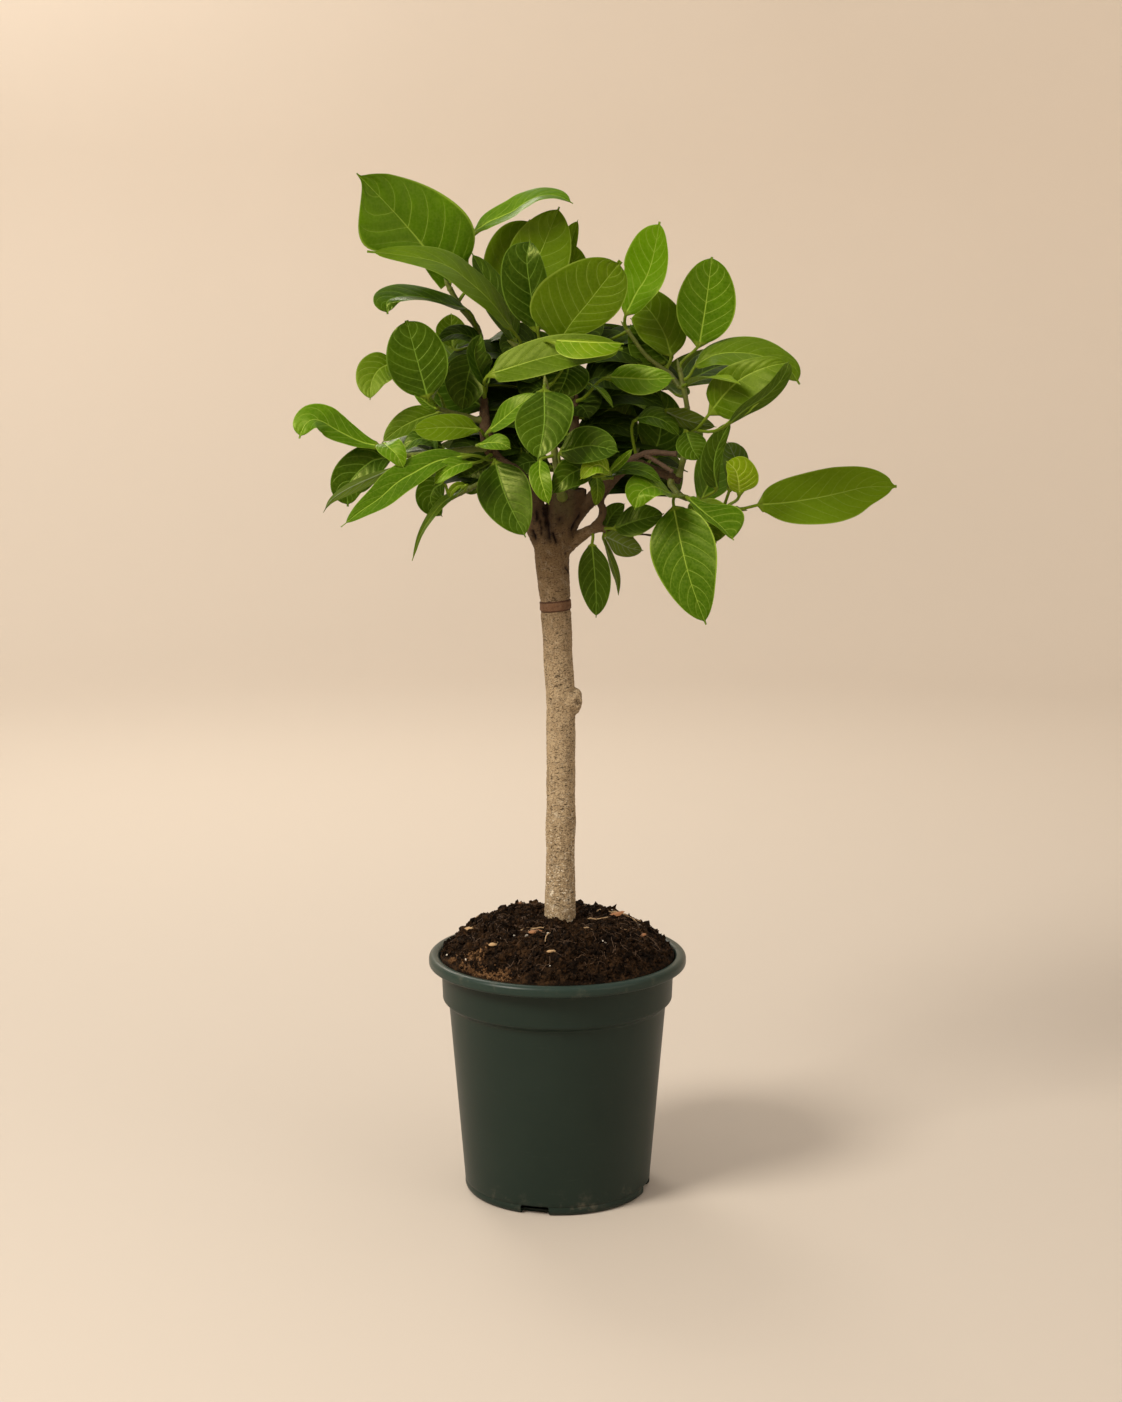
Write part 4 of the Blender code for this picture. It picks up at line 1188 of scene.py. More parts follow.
def shoot_swell(where, length):
    """The radius of a shoot, as a share of its plain radius."""
    ring = RING_SWELL * bump_at(where % RING_SPACING - RING_SPACING / 2, 0.9)
    foot = FOOT_SWELL * bump_at(where, 3.0)
    left = length - where
    bud = 1.0 if left > BUD_LENGTH else math.sin(math.pi / 2 * max(left, 0.05) / BUD_LENGTH) ** 0.8
    collar = COLLAR_SWELL * bump_at(left - BUD_LENGTH, 1.3)
    return (1.0 + ring + foot + collar) * bud


def shoot_finish():
    """Brownish green bark with pale pores."""
    finish = Finish("green_shoot", Roughness=0.55, Specular_IOR_Level=0.4)
    cloud = finish.grain(9.0, 3.0)
    pore = finish.between(finish.grain(2.0, 2.0, 0.5), 0.62, 0.70)
    base = finish.mix(cloud, (0.062, 0.082, 0.008), (0.150, 0.180, 0.022))
    finish.colour(finish.mix(pore * 0.6, base, (0.20, 0.17, 0.06)))
    finish.relief(cloud + pore * 0.6, 0.35)
    return finish.material


green_bark = shoot_finish()
shoot_rod = make_rod("shoot_rod", SHOOT_SIDES, SHOOT_LOOPS)
for name, (carrier, hint, points) in SHOOTS.items():
    seat, outward = carrier_seat(paths[carrier], hint, place(points[0][:3]))
    radius = points[0][3]
    paths[name] = [(seat, radius), (seat + outward * radius, radius)] + smooth_path(points)
    tip, tip_radius = paths[name][-1]
    onward = (tip - paths[name][-2][0]).normalized()
    grown = [(seat - outward * SHOOT_SINK, radius)] + paths[name] + [(tip + onward * BUD_LENGTH, tip_radius)]
    shoot = lay_along(copy_of(shoot_rod, "grown_" + name), grown, SHOOT_LOOPS, shoot_swell)
    shade_smooth(shoot)
    finish_piece(shoot, [green_bark], "green_shoot", name)
print("shoots", len(SHOOTS))

# %% [markdown]
# Among the leaves on the right sits a dry, forked twig, the brown remains of a shoot that was cut
# back, and a thinner one sits below it. They are made from the same rod as the shoots.

# %% Dry twigs
DRY_TWIGS = {
    "dry_twig": ((50, 724, -8, 3.6), (66, 736, -18, 3.2), (88, 745, -26, 3.0), (116, 744, -34, 2.6)),
    "dry_twig_fork": ((84, 744, -24, 2.6), (96, 737, -32, 2.2), (112, 727, -40, 1.9)),
    "thin_twig": ((46, 668, -10, 1.3), (62, 664, -14, 1.2), (80, 666, -18, 1.1), (98, 664, -20, 1.0)),
}
dead_bark = plain_finish("dry_twig_bark", (0.026, 0.012, 0.005), (0.115, 0.064, 0.029),
                         roughness=0.8, size=2.0, depth=1.0)


def knobbly(where, length):
    """A dry twig has shrunk unevenly, whatever its whole length."""
    return 1.0 + 0.16 * math.sin(where / 2.3) * math.sin(where / 5.1)


for name, points in DRY_TWIGS.items():
    twig = lay_along(copy_of(shoot_rod, name), smooth_path(points), SHOOT_LOOPS, knobbly)
    shade_smooth(twig, angle=50)
    finish_piece(twig, [dead_bark], "bark")
bpy.data.objects.remove(shoot_rod, do_unlink=True)
print("dry twigs", list(DRY_TWIGS))

# %% [markdown]
# ## The leaves
#
# A council tree's leaf is a leathery oval with a short drip tip, a bright midrib and about seven pairs
# of side veins that arch towards the tip. All leaves are copies of one master: a cylinder with many
# sides and loops. The first loops become the round stalk, and the rest are pressed flat into the
# blade, upper half of the cylinder above and lower half below, so a leaf is one closed skin with a
# real thickness. Two attributes travel with the points, and the finish draws the veins from them.

# %% Leaf measures
LEAF_SIDES = 40
STALK_LOOPS = 6
BLADE_LOOPS = 40
LEAF_LOOPS = STALK_LOOPS + BLADE_LOOPS
STALK_RADIUS = 1.5
BLADE_THICKNESS = 0.6
VEIN_RISE = 0.17
VEIN_ARCH = 0.13
BRIGHT, OLIVE, LIME = "leaf_bright", "leaf_olive", "leaf_lime"


def leaf(carrier, spine, width, face, at=None, widest=0.45, fold=8, twist=0, finish="leaf_dark", **style):
    """A row of the tables: what carries the leaf, its midrib from base to tip as (x, z, y), its
    width, the way its upper face looks, and the place (x, z) on its carrier, or None for the
    closest one. Then come the share of its length at which it is widest, its fold and twist in
    degrees, its finish, and what sets it apart from the plain style. left and right give each half
    of a blade its own share of the half width, its widest place and sometimes its roundness, seen
    with the tip up and the upper face in front."""
    return carrier, at, spine, width, face, widest, fold, twist, finish, style


# %% Leaves of the CAD model
LEAVES = {
    "leaf_top_left_1": leaf("shoot_top_left", ((-103, 909, 14), (-122, 934, 4), (-144, 961, -6),
        (-167, 986, -18), (-191, 1010, -30)), 104, (0.2, -0.95, 0.2), at=(-103, 902), widest=0.36, fold=6,
        finish=BRIGHT, tone=0.50, cup=-0.03, left=(0.86, 0.66, 1.5), right=(1.0, 0.31, 0.7)),
    "leaf_top_left_2": leaf("shoot_top", ((-46, 866, -22), (-58, 883, -28), (-70, 896, -34),
        (-84, 908, -40), (-99, 920, -45), (-118, 928, -48), (-146, 933, -50), (-182, 937, -52)), 46,
        (0.57, -0.5, 0.65), at=(-37, 846), fold=6, finish=OLIVE, tone=0.60, roundness=0.40),
    "leaf_top_left_3": leaf("shoot_top_left", ((-89, 883, -8), (-106, 888, -14), (-125, 893, -22),
        (-144, 895, -30), (-158, 893, -36), (-164, 888, -42), (-163, 878, -46)), 42, (0, -0.4, 0.92),
        at=(-77, 864), fold=10, tone=0.60, roundness=0.5),
    "leaf_top_left_4": leaf("shoot_top_left", ((-77, 957, 34), (-65, 965, 34), (-44, 974, 32),
        (-32, 982, 30), (-17, 989, 28), (0, 989, 25), (15, 982, 22)), 36, (-0.3, -0.5, 0.82),
        at=(-96, 890), widest=0.5, fold=10, twist=25, finish=BRIGHT, tone=0.45, wave=1.0),
    "leaf_crown_1": leaf("leader", ((-36, 890, 27), (-24, 918, 32), (-11, 948, 38), (2, 979, 42)), 60,
        (0.1, -0.97, 0.1), at=(-3, 868), widest=0.5, finish=OLIVE),
    "leaf_crown_2": leaf("shoot_top", ((-42, 854, 6), (-60, 894, 10), (-82, 936, 14)), 42,
        (0.65, -0.7, 0.3), at=(-30, 841), fold=10),
    "leaf_crown_3": leaf("shoot_top", ((-20, 866, -24), (-25, 895, -27), (-29, 928, -30), (-26, 948, -24)),
        46, (-0.1, -0.95, 0.25), at=(-20, 834), fold=10, left=(1.15, 0.48), right=(0.80, 0.45), tone=0.35),
    "leaf_crown_4": leaf("leader", ((2, 852, -40), (14, 870, -46), (29, 888, -52), (44, 907, -56),
        (61, 928, -58)), 82, (0.1, -0.98, 0.1), at=(6, 840), fold=6, finish=OLIVE, veins=9.0, tone=0.50,
        left=(1.12, 0.36), right=(0.66, 0.66), roundness=0.45),
    "leaf_crown_5": leaf("shoot_right_top", ((67, 880, -4), (76, 898, -8), (85, 912, -12), (91, 929, -16),
        (95, 948, -20), (98, 965, -24)), 54, (-0.4, -0.86, 0.31), at=(68, 862), finish=BRIGHT, veins=8.0,
        tone=0.95, roundness=0.5, left=(1.0, 0.55), right=(0.80, 0.42)),
    "leaf_right_1": leaf("shoot_right_top", ((109, 840, 10), (104, 857, 14), (95, 873, 18), (83, 887, 22),
        (72, 890, 26)), 48, (0.2, -0.95, 0.1), at=(104, 825), finish=OLIVE, roundness=0.5, tone=0.55),
    "leaf_right_2": leaf("shoot_right", ((137, 851, -8), (143, 890, -8), (148, 932, -6)), 57,
        (0.05, -0.99, 0.1), at=(118, 825), widest=0.47, fold=6, finish=BRIGHT, veins=7.0, tone=0.40,
        cup=0.06, roundness=0.52, tip=0.03),
    "leaf_right_3": leaf("shoot_right", ((135, 830, -10), (149, 838, -14), (163, 841, -18),
        (178, 841, -22), (193, 839, -26), (208, 834, -29), (223, 826, -32), (234, 811, -35)), 50,
        (0, -0.66, 0.75), at=(120, 815), widest=0.5, fold=10, finish=OLIVE, left=(0.85, 0.50),
        right=(0.95, 0.50), roundness=0.5, tone=0.50),
    "leaf_right_4": leaf("shoot_right", ((151, 788, -62), (161, 801, -72), (177, 816, -80),
        (200, 827, -88), (223, 832, -92)), 50, (-0.2, -0.88, 0.42), at=(127, 765), widest=0.42,
        finish=OLIVE, left=(0.72, 0.26), right=(1.40, 0.50), roundness=0.48, tone=0.40),
    "leaf_right_5": leaf("shoot_right_low", ((155, 712, -38), (152, 729, -44), (154, 746, -46),
        (160, 761, -48), (168, 775, -48)), 27, (0.1, -0.98, 0.1), at=(140, 697), widest=0.4,
        left=(1.0, 0.40), right=(0.50, 0.50), roundness=0.5, tone=0.50),
    "leaf_right_6": leaf("shoot_right_low", ((199, 695, -18), (224, 697, -18), (255, 702, -17),
        (278, 707, -15), (301, 712, -13), (330, 712, -12)), 54, (0.0, -0.95, 0.3), at=(174, 691),
        widest=0.5, fold=6, finish=OLIVE, veins=9.0, tone=0.90, cup=0.02, left=(0.97, 0.44, 0.40),
        right=(1.06, 0.50, 0.60), tip=0.04),
    "leaf_right_7": leaf("shoot_right_low", ((128, 700, -46), (142, 688, -54), (158, 675, -62),
        (172, 660, -70)), 38, (0.3, -0.75, 0.6), at=(128, 700), widest=0.5, fold=12, finish=BRIGHT,
        left=(1.40, 0.72), right=(0.35, 0.40), tone=0.25),
    "leaf_right_8": leaf("shoot_right_low", ((114, 690, -42), (121, 656, -56), (131, 618, -68),
        (146, 577, -78)), 67, (-0.42, -0.84, 0.34), at=(118, 705), widest=0.4, fold=10, finish=BRIGHT,
        veins=8.0, tone=0.0, cup=-0.03, quilt=1.0, left=(1.05, 0.42), right=(0.92, 0.40)),
    "leaf_right_9": leaf("limb_low", ((34, 655, -14), (36, 635, -12), (38, 608, -11), (38, 584, -10)), 33,
        (-0.3, -0.95, 0), at=(34, 668), widest=0.48),
    "leaf_right_10": leaf("limb_low", ((57, 672, -22), (80, 680, -30), (104, 686, -33)), 34,
        (0.0, -0.8, 0.6), at=(48, 674)),
    "leaf_right_11": leaf("shoot_right_low", ((110, 705, -54), (94, 712, -68), (81, 707, -78),
        (75, 690, -82)), 38, (0.1, -0.6, 0.8), at=(122, 702), fold=14, finish=BRIGHT),
    "leaf_left_1": leaf("limb_left", ((-78, 768, -28), (-107, 770, -38), (-140, 767, -46)), 33,
        (0.0, -0.84, 0.54), at=(-69, 762), widest=0.42, fold=10, finish=OLIVE, tone=1.0, roundness=0.45,
        left=(1.0, 0.62), right=(0.85, 0.45)),
    "leaf_left_2": leaf("shoot_left_high", ((-116, 784, 2), (-134, 778, -2), (-152, 769, -6),
        (-170, 755, -12)), 29, (-0.1, -0.8, 0.5), at=(-104, 785), fold=10, finish=OLIVE, tone=0.25),
    "leaf_left_3": leaf("shoot_left", ((-176, 752, -60), (-191, 756, -61), (-206, 763, -63),
        (-217, 769, -65), (-227, 775, -68), (-237, 777, -71), (-245, 771, -73), (-250, 759, -76)), 38,
        (0.05, -0.7, 0.7), at=(-150, 742), widest=0.5, fold=10, twist=-15, finish=BRIGHT, roundness=0.5,
        left=(0.9, 0.6), right=(1.0, 0.6)),
    "leaf_left_4": leaf("shoot_left", ((-155, 732, -66), (-172, 724, -72), (-191, 716, -78),
        (-207, 708, -82), (-220, 699, -86), (-228, 687, -90)), 15, (0.2, 0.75, -0.6), at=(-140, 743),
        fold=10, finish=OLIVE, tone=0.30, roundness=0.9, tip=0.09),
    "leaf_left_5": leaf("limb_left", ((-92, 742, -72), (-117, 737, -84), (-139, 726, -94),
        (-156, 716, -102), (-173, 701, -112), (-192, 688, -122), (-211, 673, -132)), 45,
        (0.1, -0.78, 0.62), at=(-60, 740), widest=0.5, fold=10, finish=BRIGHT, left=(0.66, 0.50),
        right=(0.68, 0.42), roundness=0.6, tone=0.25, tip=0.07),
    "leaf_left_6": leaf("shoot_left_high", ((-126, 801, -34), (-135, 834, -36), (-145, 872, -34)), 58,
        (0.0, -0.99, 0.1), at=(-116, 788), widest=0.5, fold=6, roundness=0.44, tip=0.03, tone=0.60,
        cup=0.0),
    "leaf_left_7": leaf("shoot_left_high", ((-158, 832, 0), (-171, 826, -6), (-179, 814, -12),
        (-181, 796, -20)), 38, (-0.2, -0.9, 0.35), at=(-108, 786), finish=OLIVE),
    "leaf_left_8": leaf("shoot_top_left", ((-80, 840, 4), (-87, 815, -2), (-92, 786, -8)), 46,
        (-0.1, -0.95, 0.3), at=(-73, 832), fold=12),
    "leaf_left_9": leaf("shoot_young", ((-92, 711, -40), (-102, 704, -42), (-113, 695, -44),
        (-124, 681, -45), (-134, 664, -46), (-142, 640, -47)), 19, (-0.75, -0.45, 0.45), at=(-98, 704),
        widest=0.4, finish=OLIVE, tone=0.20, roundness=0.7),
    "leaf_front_1": leaf("limb_left", ((-60, 734, -44), (-50, 702, -62), (-31, 663, -78)), 51,
        (-0.05, -0.9, 0.42), at=(-56, 737), veins=8.0, tone=0.55),
    "leaf_front_2": leaf("shoot_front", ((-13, 804, -92), (-13, 772, -106), (-19, 738, -118)), 59,
        (0.0, -0.88, 0.47), at=(-11, 808), widest=0.42, left=(0.93, 0.30), right=(0.92, 0.50), tone=0.60),
    "leaf_front_3": leaf("limb_left", ((-61, 822, -50), (-39, 829, -56), (-15, 836, -60), (9, 841, -64),
        (36, 844, -68), (63, 845, -70)), 40, (-0.15, -0.85, 0.5), at=(-71, 798), widest=0.42, finish=OLIVE,
        tone=0.40, roundness=0.38),
    "leaf_front_4": leaf("leader", ((52, 818, -34), (70, 817, -44), (89, 816, -52), (113, 817, -58)), 33,
        (-0.36, -0.84, 0.40), at=(16, 795), finish=BRIGHT, left=(0.85, 0.45), right=(1.05, 0.58),
        roundness=0.5, tone=0.6),
    "leaf_front_5": leaf("shoot_front", ((4, 746, -76), (32, 752, -86), (60, 746, -92)), 40,
        (0.0, -0.85, 0.5), at=(0, 735)),
    "leaf_back_1": leaf("shoot_back", ((-4, 864, 132), (-14, 900, 150), (-24, 926, 160)), 62,
        (-0.1, 0.9, 0.4), at=(2, 850)),
    "leaf_back_2": leaf("shoot_back", ((36, 806, 112), (60, 800, 142), (78, 778, 168)), 60,
        (0.3, 0.7, 0.6), at=(12, 790), finish=BRIGHT),
    "leaf_back_3": leaf("shoot_back", ((-12, 788, 108), (-32, 778, 140), (-52, 752, 168)), 62,
        (-0.3, 0.7, 0.6), at=(14, 775)),
    "leaf_back_4": leaf("shoot_back_left", ((-116, 838, 112), (-132, 848, 140), (-144, 846, 168)), 54,
        (-0.1, 0.3, 0.95), at=(-110, 832), fold=10, finish=BRIGHT),
    "leaf_back_5": leaf("shoot_back_left", ((-100, 786, 92), (-118, 770, 118), (-130, 742, 142)), 56,
        (-0.4, 0.7, 0.6), at=(-92, 780)),
    "leaf_back_6": leaf("shoot_back_right", ((98, 846, 110), (95, 870, 135), (92, 886, 158)), 54,
        (0.1, 0.75, 0.6), at=(100, 832)),
    "leaf_back_7": leaf("shoot_back_right", ((104, 780, 92), (116, 765, 118), (124, 736, 140)), 56,
        (0.4, 0.7, 0.6), at=(90, 780), finish=BRIGHT),
}
print("CAD leaves", len(LEAVES))

# %% Small and half hidden leaves, which have no CAD node
SMALL_LEAVES = {
    "small_leaf_top_1": leaf("leader", ((-42, 885, 36), (-45, 915, 44), (-40, 945, 50), (-26, 967, 50)),
        54, (-0.2, -0.95, 0.2), finish=OLIVE, tone=0.95),
    "small_leaf_top_2": leaf("leader", ((0, 900, 50), (7, 925, 56), (14, 948, 58), (20, 967, 58)), 30,
        (0.1, -0.97, 0.1), finish=OLIVE, left=(1.0, 0.45), right=(0.45, 0.45), tone=1.0),
    "small_leaf_top_6": leaf("leader", ((4, 880, 60), (8, 905, 66), (12, 928, 70), (14, 946, 70)), 42,
        (0.1, -0.97, 0.1), finish=OLIVE, tone=0.95),
    "small_leaf_top_3": leaf("shoot_top_left", ((-101, 847, 26), (-102, 857, 30), (-102, 868, 32),
        (-102, 879, 32)), 30, (0, -0.95, 0.2), widest=0.5, finish=OLIVE),
    "small_leaf_top_4": leaf("shoot_top_left", ((-76, 848, 12), (-85, 857, 8), (-100, 859, 4),
        (-116, 851, 0)), 26, (0.0, -0.6, 0.8), fold=10),
    "small_leaf_top_5": leaf("limb_left", ((-69, 811, -14), (-76, 825, -32), (-80, 842, -36),
        (-73, 860, -36)), 30, (0.5, -0.8, 0.2), fold=30, twist=20),
    "small_leaf_lime_1": leaf("leader", ((-1, 853, -76), (20, 852, -84), (41, 851, -88), (64, 850, -88)),
        34, (0, -0.85, 0.5), widest=0.42, fold=6, finish=LIME, left=(0.12, 0.5), right=(1.15, 0.42),
        roundness=0.45),
    "small_leaf_lime_2": leaf("shoot_right", ((127, 812, -38), (142, 817, -72), (160, 817, -98),
        (177, 811, -106)), 24, (0.0, -0.16, 0.98), finish=LIME),
    "small_leaf_lime_3": leaf("leader", ((32, 811, -34), (40, 806, -42), (47, 799, -46), (54, 789, -46)),
        12, (0.6, -0.5, 0.5), widest=0.5, fold=10, finish=BRIGHT),
    "small_leaf_right_1": leaf("shoot_right_top", ((107, 838, 22), (98, 852, 26), (86, 864, 28),
        (70, 874, 30)), 28, (0.2, -0.85, 0.4)),
    "small_leaf_right_2": leaf("shoot_right", ((106, 785, -26), (119, 779, -30), (135, 774, -32),
        (154, 770, -32)), 22, (0.1, 0.85, 0.5), widest=0.5, finish=OLIVE),
    "small_leaf_right_3": leaf("limb_right", ((78, 778, -20), (91, 780, -26), (106, 774, -30),
        (119, 761, -32)), 24, (0, -0.7, 0.7), fold=12),
    "small_leaf_right_4": leaf("shoot_right", ((125, 765, -32), (128, 756, -36), (132, 747, -40),
        (138, 738, -42)), 30, (0.1, -0.9, 0.3), widest=0.5, tone=0.9),
    "small_leaf_right_5": leaf("shoot_right_low", ((168, 710, -30), (173, 723, -32), (173, 738, -34),
        (169, 748, -34), (165, 756, -34)), 25, (0.1, 0.95, 0.2), widest=0.5),
    "young_leaf_right": leaf("shoot_right_low", ((177, 707, -50), (176, 717, -54), (173, 728, -56),
        (164, 737, -56)), 31, (0.1, -0.97, 0.2), finish=LIME, tone=0.75, roundness=0.5, left=(0.70, 0.45),
        right=(1.30, 0.42)),
    "small_leaf_right_6": leaf("shoot_right_low", ((129, 692, -30), (141, 683, -36), (150, 671, -42),
        (155, 657, -46)), 48, (0.1, -0.95, 0.2), widest=0.5, finish=OLIVE),
    "small_leaf_low_1": leaf("limb_low", ((45, 662, -6), (52, 641, -4), (58, 622, -2), (60, 606, -2)), 15,
        (0.85, -0.45, 0.2), fold=6, finish=OLIVE),
    "small_leaf_low_2": leaf("limb_low", ((48, 664, -16), (58, 659, -22), (70, 653, -26), (84, 650, -28)),
        30, (0.1, 0.9, 0.4), finish=OLIVE),
    "small_leaf_low_3": leaf("limb_right", ((48, 722, -50), (65, 729, -58), (85, 727, -64),
        (102, 716, -68)), 22, (0.0, -0.5, 0.85), fold=10),
    "small_leaf_front_1": leaf("limb_left", ((-64, 768, -54), (-52, 778, -64), (-38, 790, -70),
        (-20, 803, -72)), 27, (-0.35, -0.75, 0.6), finish=BRIGHT),
    "small_leaf_front_2": leaf("limb_left", ((-75, 753, -60), (-65, 755, -72), (-54, 754, -78),
        (-45, 749, -80)), 19, (0, -0.8, 0.6), widest=0.5, finish=BRIGHT),
    "small_leaf_front_3": leaf("shoot_front", ((12, 832, -40), (10, 822, -46), (6, 811, -50),
        (-1, 798, -54)), 44, (0.0, -0.9, 0.4)),
    "small_leaf_front_4": leaf("shoot_front", ((50, 727, -84), (42, 733, -90), (33, 731, -94),
        (22, 719, -96)), 23, (0.0, -0.75, 0.65), finish=LIME),
    "small_leaf_front_5": leaf("shoot_front", ((50, 726, -62), (58, 733, -66), (66, 741, -68),
        (73, 749, -68)), 9, (0.3, -0.7, 0.6), finish=BRIGHT),
    "small_leaf_front_6": leaf("shoot_front", ((-17, 737, -72), (-17, 724, -84), (-13, 709, -90),
        (-8, 695, -92)), 21, (-0.2, -0.95, 0.2), widest=0.42, finish=BRIGHT),
    "small_leaf_front_7": leaf("shoot_front", ((34, 730, -66), (22, 729, -76), (8, 721, -82),
        (-5, 705, -84)), 31, (0.0, -0.9, 0.45)),
    "small_leaf_front_8": leaf("shoot_front", ((38, 722, -30), (39, 713, -40), (39, 704, -44),
        (37, 693, -44)), 14, (0.1, -0.95, 0.1), finish=OLIVE),
    "small_leaf_left_1": leaf("shoot_left", ((-168, 754, -70), (-164, 751, -84), (-156, 743, -92),
        (-149, 730, -94)), 24, (0.1, -0.85, 0.5), fold=10, finish=BRIGHT),
    "small_leaf_left_2": leaf("shoot_left", ((-112, 750, -14), (-125, 757, -20), (-137, 758, -24),
        (-150, 747, -26)), 26, (0.0, -0.6, 0.8), fold=10),
    "small_leaf_left_3": leaf("limb_left", ((-84, 735, -70), (-95, 734, -82), (-108, 727, -90),
        (-120, 714, -92)), 22, (0.0, -0.7, 0.7), fold=10, finish=BRIGHT),
    "small_leaf_left_4": leaf("shoot_young", ((-112, 716, -22), (-121, 709, -26), (-123, 697, -28),
        (-112, 683, -28)), 30, (0.0, -0.95, 0.2)),
    "small_leaf_left_5": leaf("shoot_left_high", ((-115, 788, -14), (-121, 800, -18), (-112, 815, -22),
        (-103, 829, -24)), 18, (-0.8, -0.5, 0.2), fold=14, finish=OLIVE),
    "small_leaf_left_6": leaf("shoot_left_high", ((-118, 788, -28), (-125, 792, -32), (-132, 798, -34),
        (-140, 805, -34)), 12, (0.2, -0.8, 0.5), finish=BRIGHT),
    "young_leaf_left": leaf("shoot_young", ((-89, 714, -34), (-97, 713, -38), (-103, 707, -42),
        (-104, 700, -44)), 9, (-0.1, -0.9, 0.4), widest=0.5, fold=30, finish=LIME),
    "inner_leaf_1": leaf("leader", ((20, 790, 26), (35, 802, 34), (56, 808, 40), (80, 802, 44)), 52,
        (0.0, -0.8, 0.6)),
    "inner_leaf_2": leaf("leader", ((8, 822, 26), (-14, 836, 34), (-38, 842, 38), (-62, 834, 40)), 52,
        (0.0, -0.8, 0.6)),
    "inner_leaf_3": leaf("limb_right", ((40, 735, 14), (48, 752, 22), (60, 772, 26), (72, 795, 26)), 50,
        (0.1, -0.9, 0.4)),
    "inner_leaf_4": leaf("limb_left", ((-40, 735, 16), (-44, 757, 26), (-48, 782, 32), (-48, 808, 34)), 50,
        (-0.1, -0.9, 0.4)),
    "inner_leaf_5": leaf("limb_right", ((92, 742, 14), (99, 760, 20), (100, 785, 24), (94, 808, 24)), 46,
        (0.1, -0.9, 0.4)),
    "inner_leaf_6": leaf("leader", ((10, 760, 30), (-6, 772, 44), (-26, 780, 52), (-48, 778, 58)), 50,
        (0.0, -0.6, 0.8)),
    "inner_leaf_7": leaf("leader", ((22, 752, 26), (38, 760, 36), (56, 762, 44), (76, 752, 50)), 46,
        (0.0, -0.6, 0.8)),
    "inner_leaf_8": leaf("leader", ((2, 846, 24), (16, 862, 30), (30, 880, 34), (46, 896, 34)), 50,
        (0.1, -0.9, 0.4)),
    "inner_leaf_9": leaf("limb_left", ((-72, 790, 16), (-90, 800, 24), (-108, 812, 30), (-124, 828, 32)),
        48, (-0.1, -0.9, 0.4)),
    "rear_leaf_1": leaf("shoot_back_left", ((-84, 765, 66), (-96, 752, 84), (-112, 734, 96),
        (-128, 712, 104)), 50, (-0.6, 0.5, 0.6), finish=OLIVE),
    "rear_leaf_2": leaf("shoot_back_left", ((-100, 800, 86), (-112, 806, 88), (-126, 808, 90),
        (-140, 802, 92)), 42, (-0.3, 0.4, 0.85)),
    "rear_leaf_3": leaf("shoot_back_left", ((-106, 822, 96), (-100, 836, 106), (-96, 850, 112),
        (-93, 866, 114)), 44, (-0.2, 0.9, 0.4), finish=BRIGHT),
    "rear_leaf_4": leaf("shoot_back_left", ((-72, 750, 48), (-62, 742, 76), (-56, 722, 98),
        (-52, 694, 112)), 52, (-0.1, 0.8, 0.5), finish=BRIGHT),
    "rear_leaf_5": leaf("shoot_back_right", ((100, 808, 88), (125, 824, 90), (150, 834, 90),
        (176, 838, 88)), 48, (0.2, 0.5, 0.85), finish=OLIVE),
    "rear_leaf_6": leaf("shoot_back_right", ((80, 762, 64), (92, 748, 84), (106, 728, 96),
        (118, 702, 104)), 50, (0.6, 0.5, 0.6)),
    "rear_leaf_7": leaf("shoot_back_right", ((70, 750, 48), (58, 744, 78), (48, 724, 100), (40, 698, 116)),
        52, (0.0, 0.8, 0.5)),
    "rear_leaf_8": leaf("shoot_back_right", ((102, 822, 96), (76, 836, 108), (52, 852, 116),
        (30, 866, 118)), 52, (0.1, 0.7, 0.7), finish=BRIGHT),
    "rear_leaf_9": leaf("shoot_back", ((6, 832, 112), (-20, 842, 118), (-48, 848, 118), (-74, 840, 116)),
        50, (-0.1, 0.7, 0.7), finish=OLIVE),
    "rear_leaf_10": leaf("shoot_back", ((2, 852, 120), (20, 872, 118), (34, 896, 112), (42, 922, 104)), 50,
        (0.2, 0.85, 0.4)),
    "side_leaf_1": leaf("shoot_left", ((-120, 745, -32), (-140, 752, -8), (-162, 752, 16),
        (-180, 740, 38)), 46, (-0.6, -0.1, 0.8)),
    "side_leaf_2": leaf("shoot_right", ((122, 812, -2), (150, 826, 26), (176, 832, 50), (194, 830, 70)),
        44, (0.6, -0.1, 0.8)),
    "side_leaf_3": leaf("shoot_right_low", ((140, 700, -6), (150, 722, 14), (156, 744, 32),
        (158, 766, 48)), 42, (0.5, -0.1, 0.85), finish=BRIGHT),
    "side_leaf_4": leaf("shoot_right", ((118, 800, 4), (108, 808, 34), (102, 812, 62), (98, 806, 90)), 44,
        (0.3, -0.1, 0.9), finish=OLIVE),
    "small_leaf_left_7": leaf("shoot_left", ((-164, 741, -50), (-180, 737, -54), (-195, 725, -58),
        (-204, 711, -60), (-204, 693, -60)), 40, (-0.1, -0.95, 0.3), widest=0.5, tone=0.55,
        roundness=0.48),
    "small_leaf_low_4": leaf("limb_low", ((47, 672, -6), (51, 681, 0), (57, 689, 4), (66, 696, 6)), 20,
        (0, -0.95, 0.2)),
    "small_leaf_left_8": leaf("limb_left", ((-63, 736, 6), (-74, 730, 10), (-85, 724, 12), (-97, 721, 14)),
        34, (0, -0.9, 0.4)),
    "small_leaf_left_9": leaf("limb_left", ((-69, 721, 4), (-77, 715, 8), (-85, 711, 10), (-93, 712, 12)),
        16, (0, -0.9, 0.4), widest=0.5),
    "small_leaf_right_7": leaf("shoot_right", ((168, 775, -88), (182, 787, -98), (199, 798, -106),
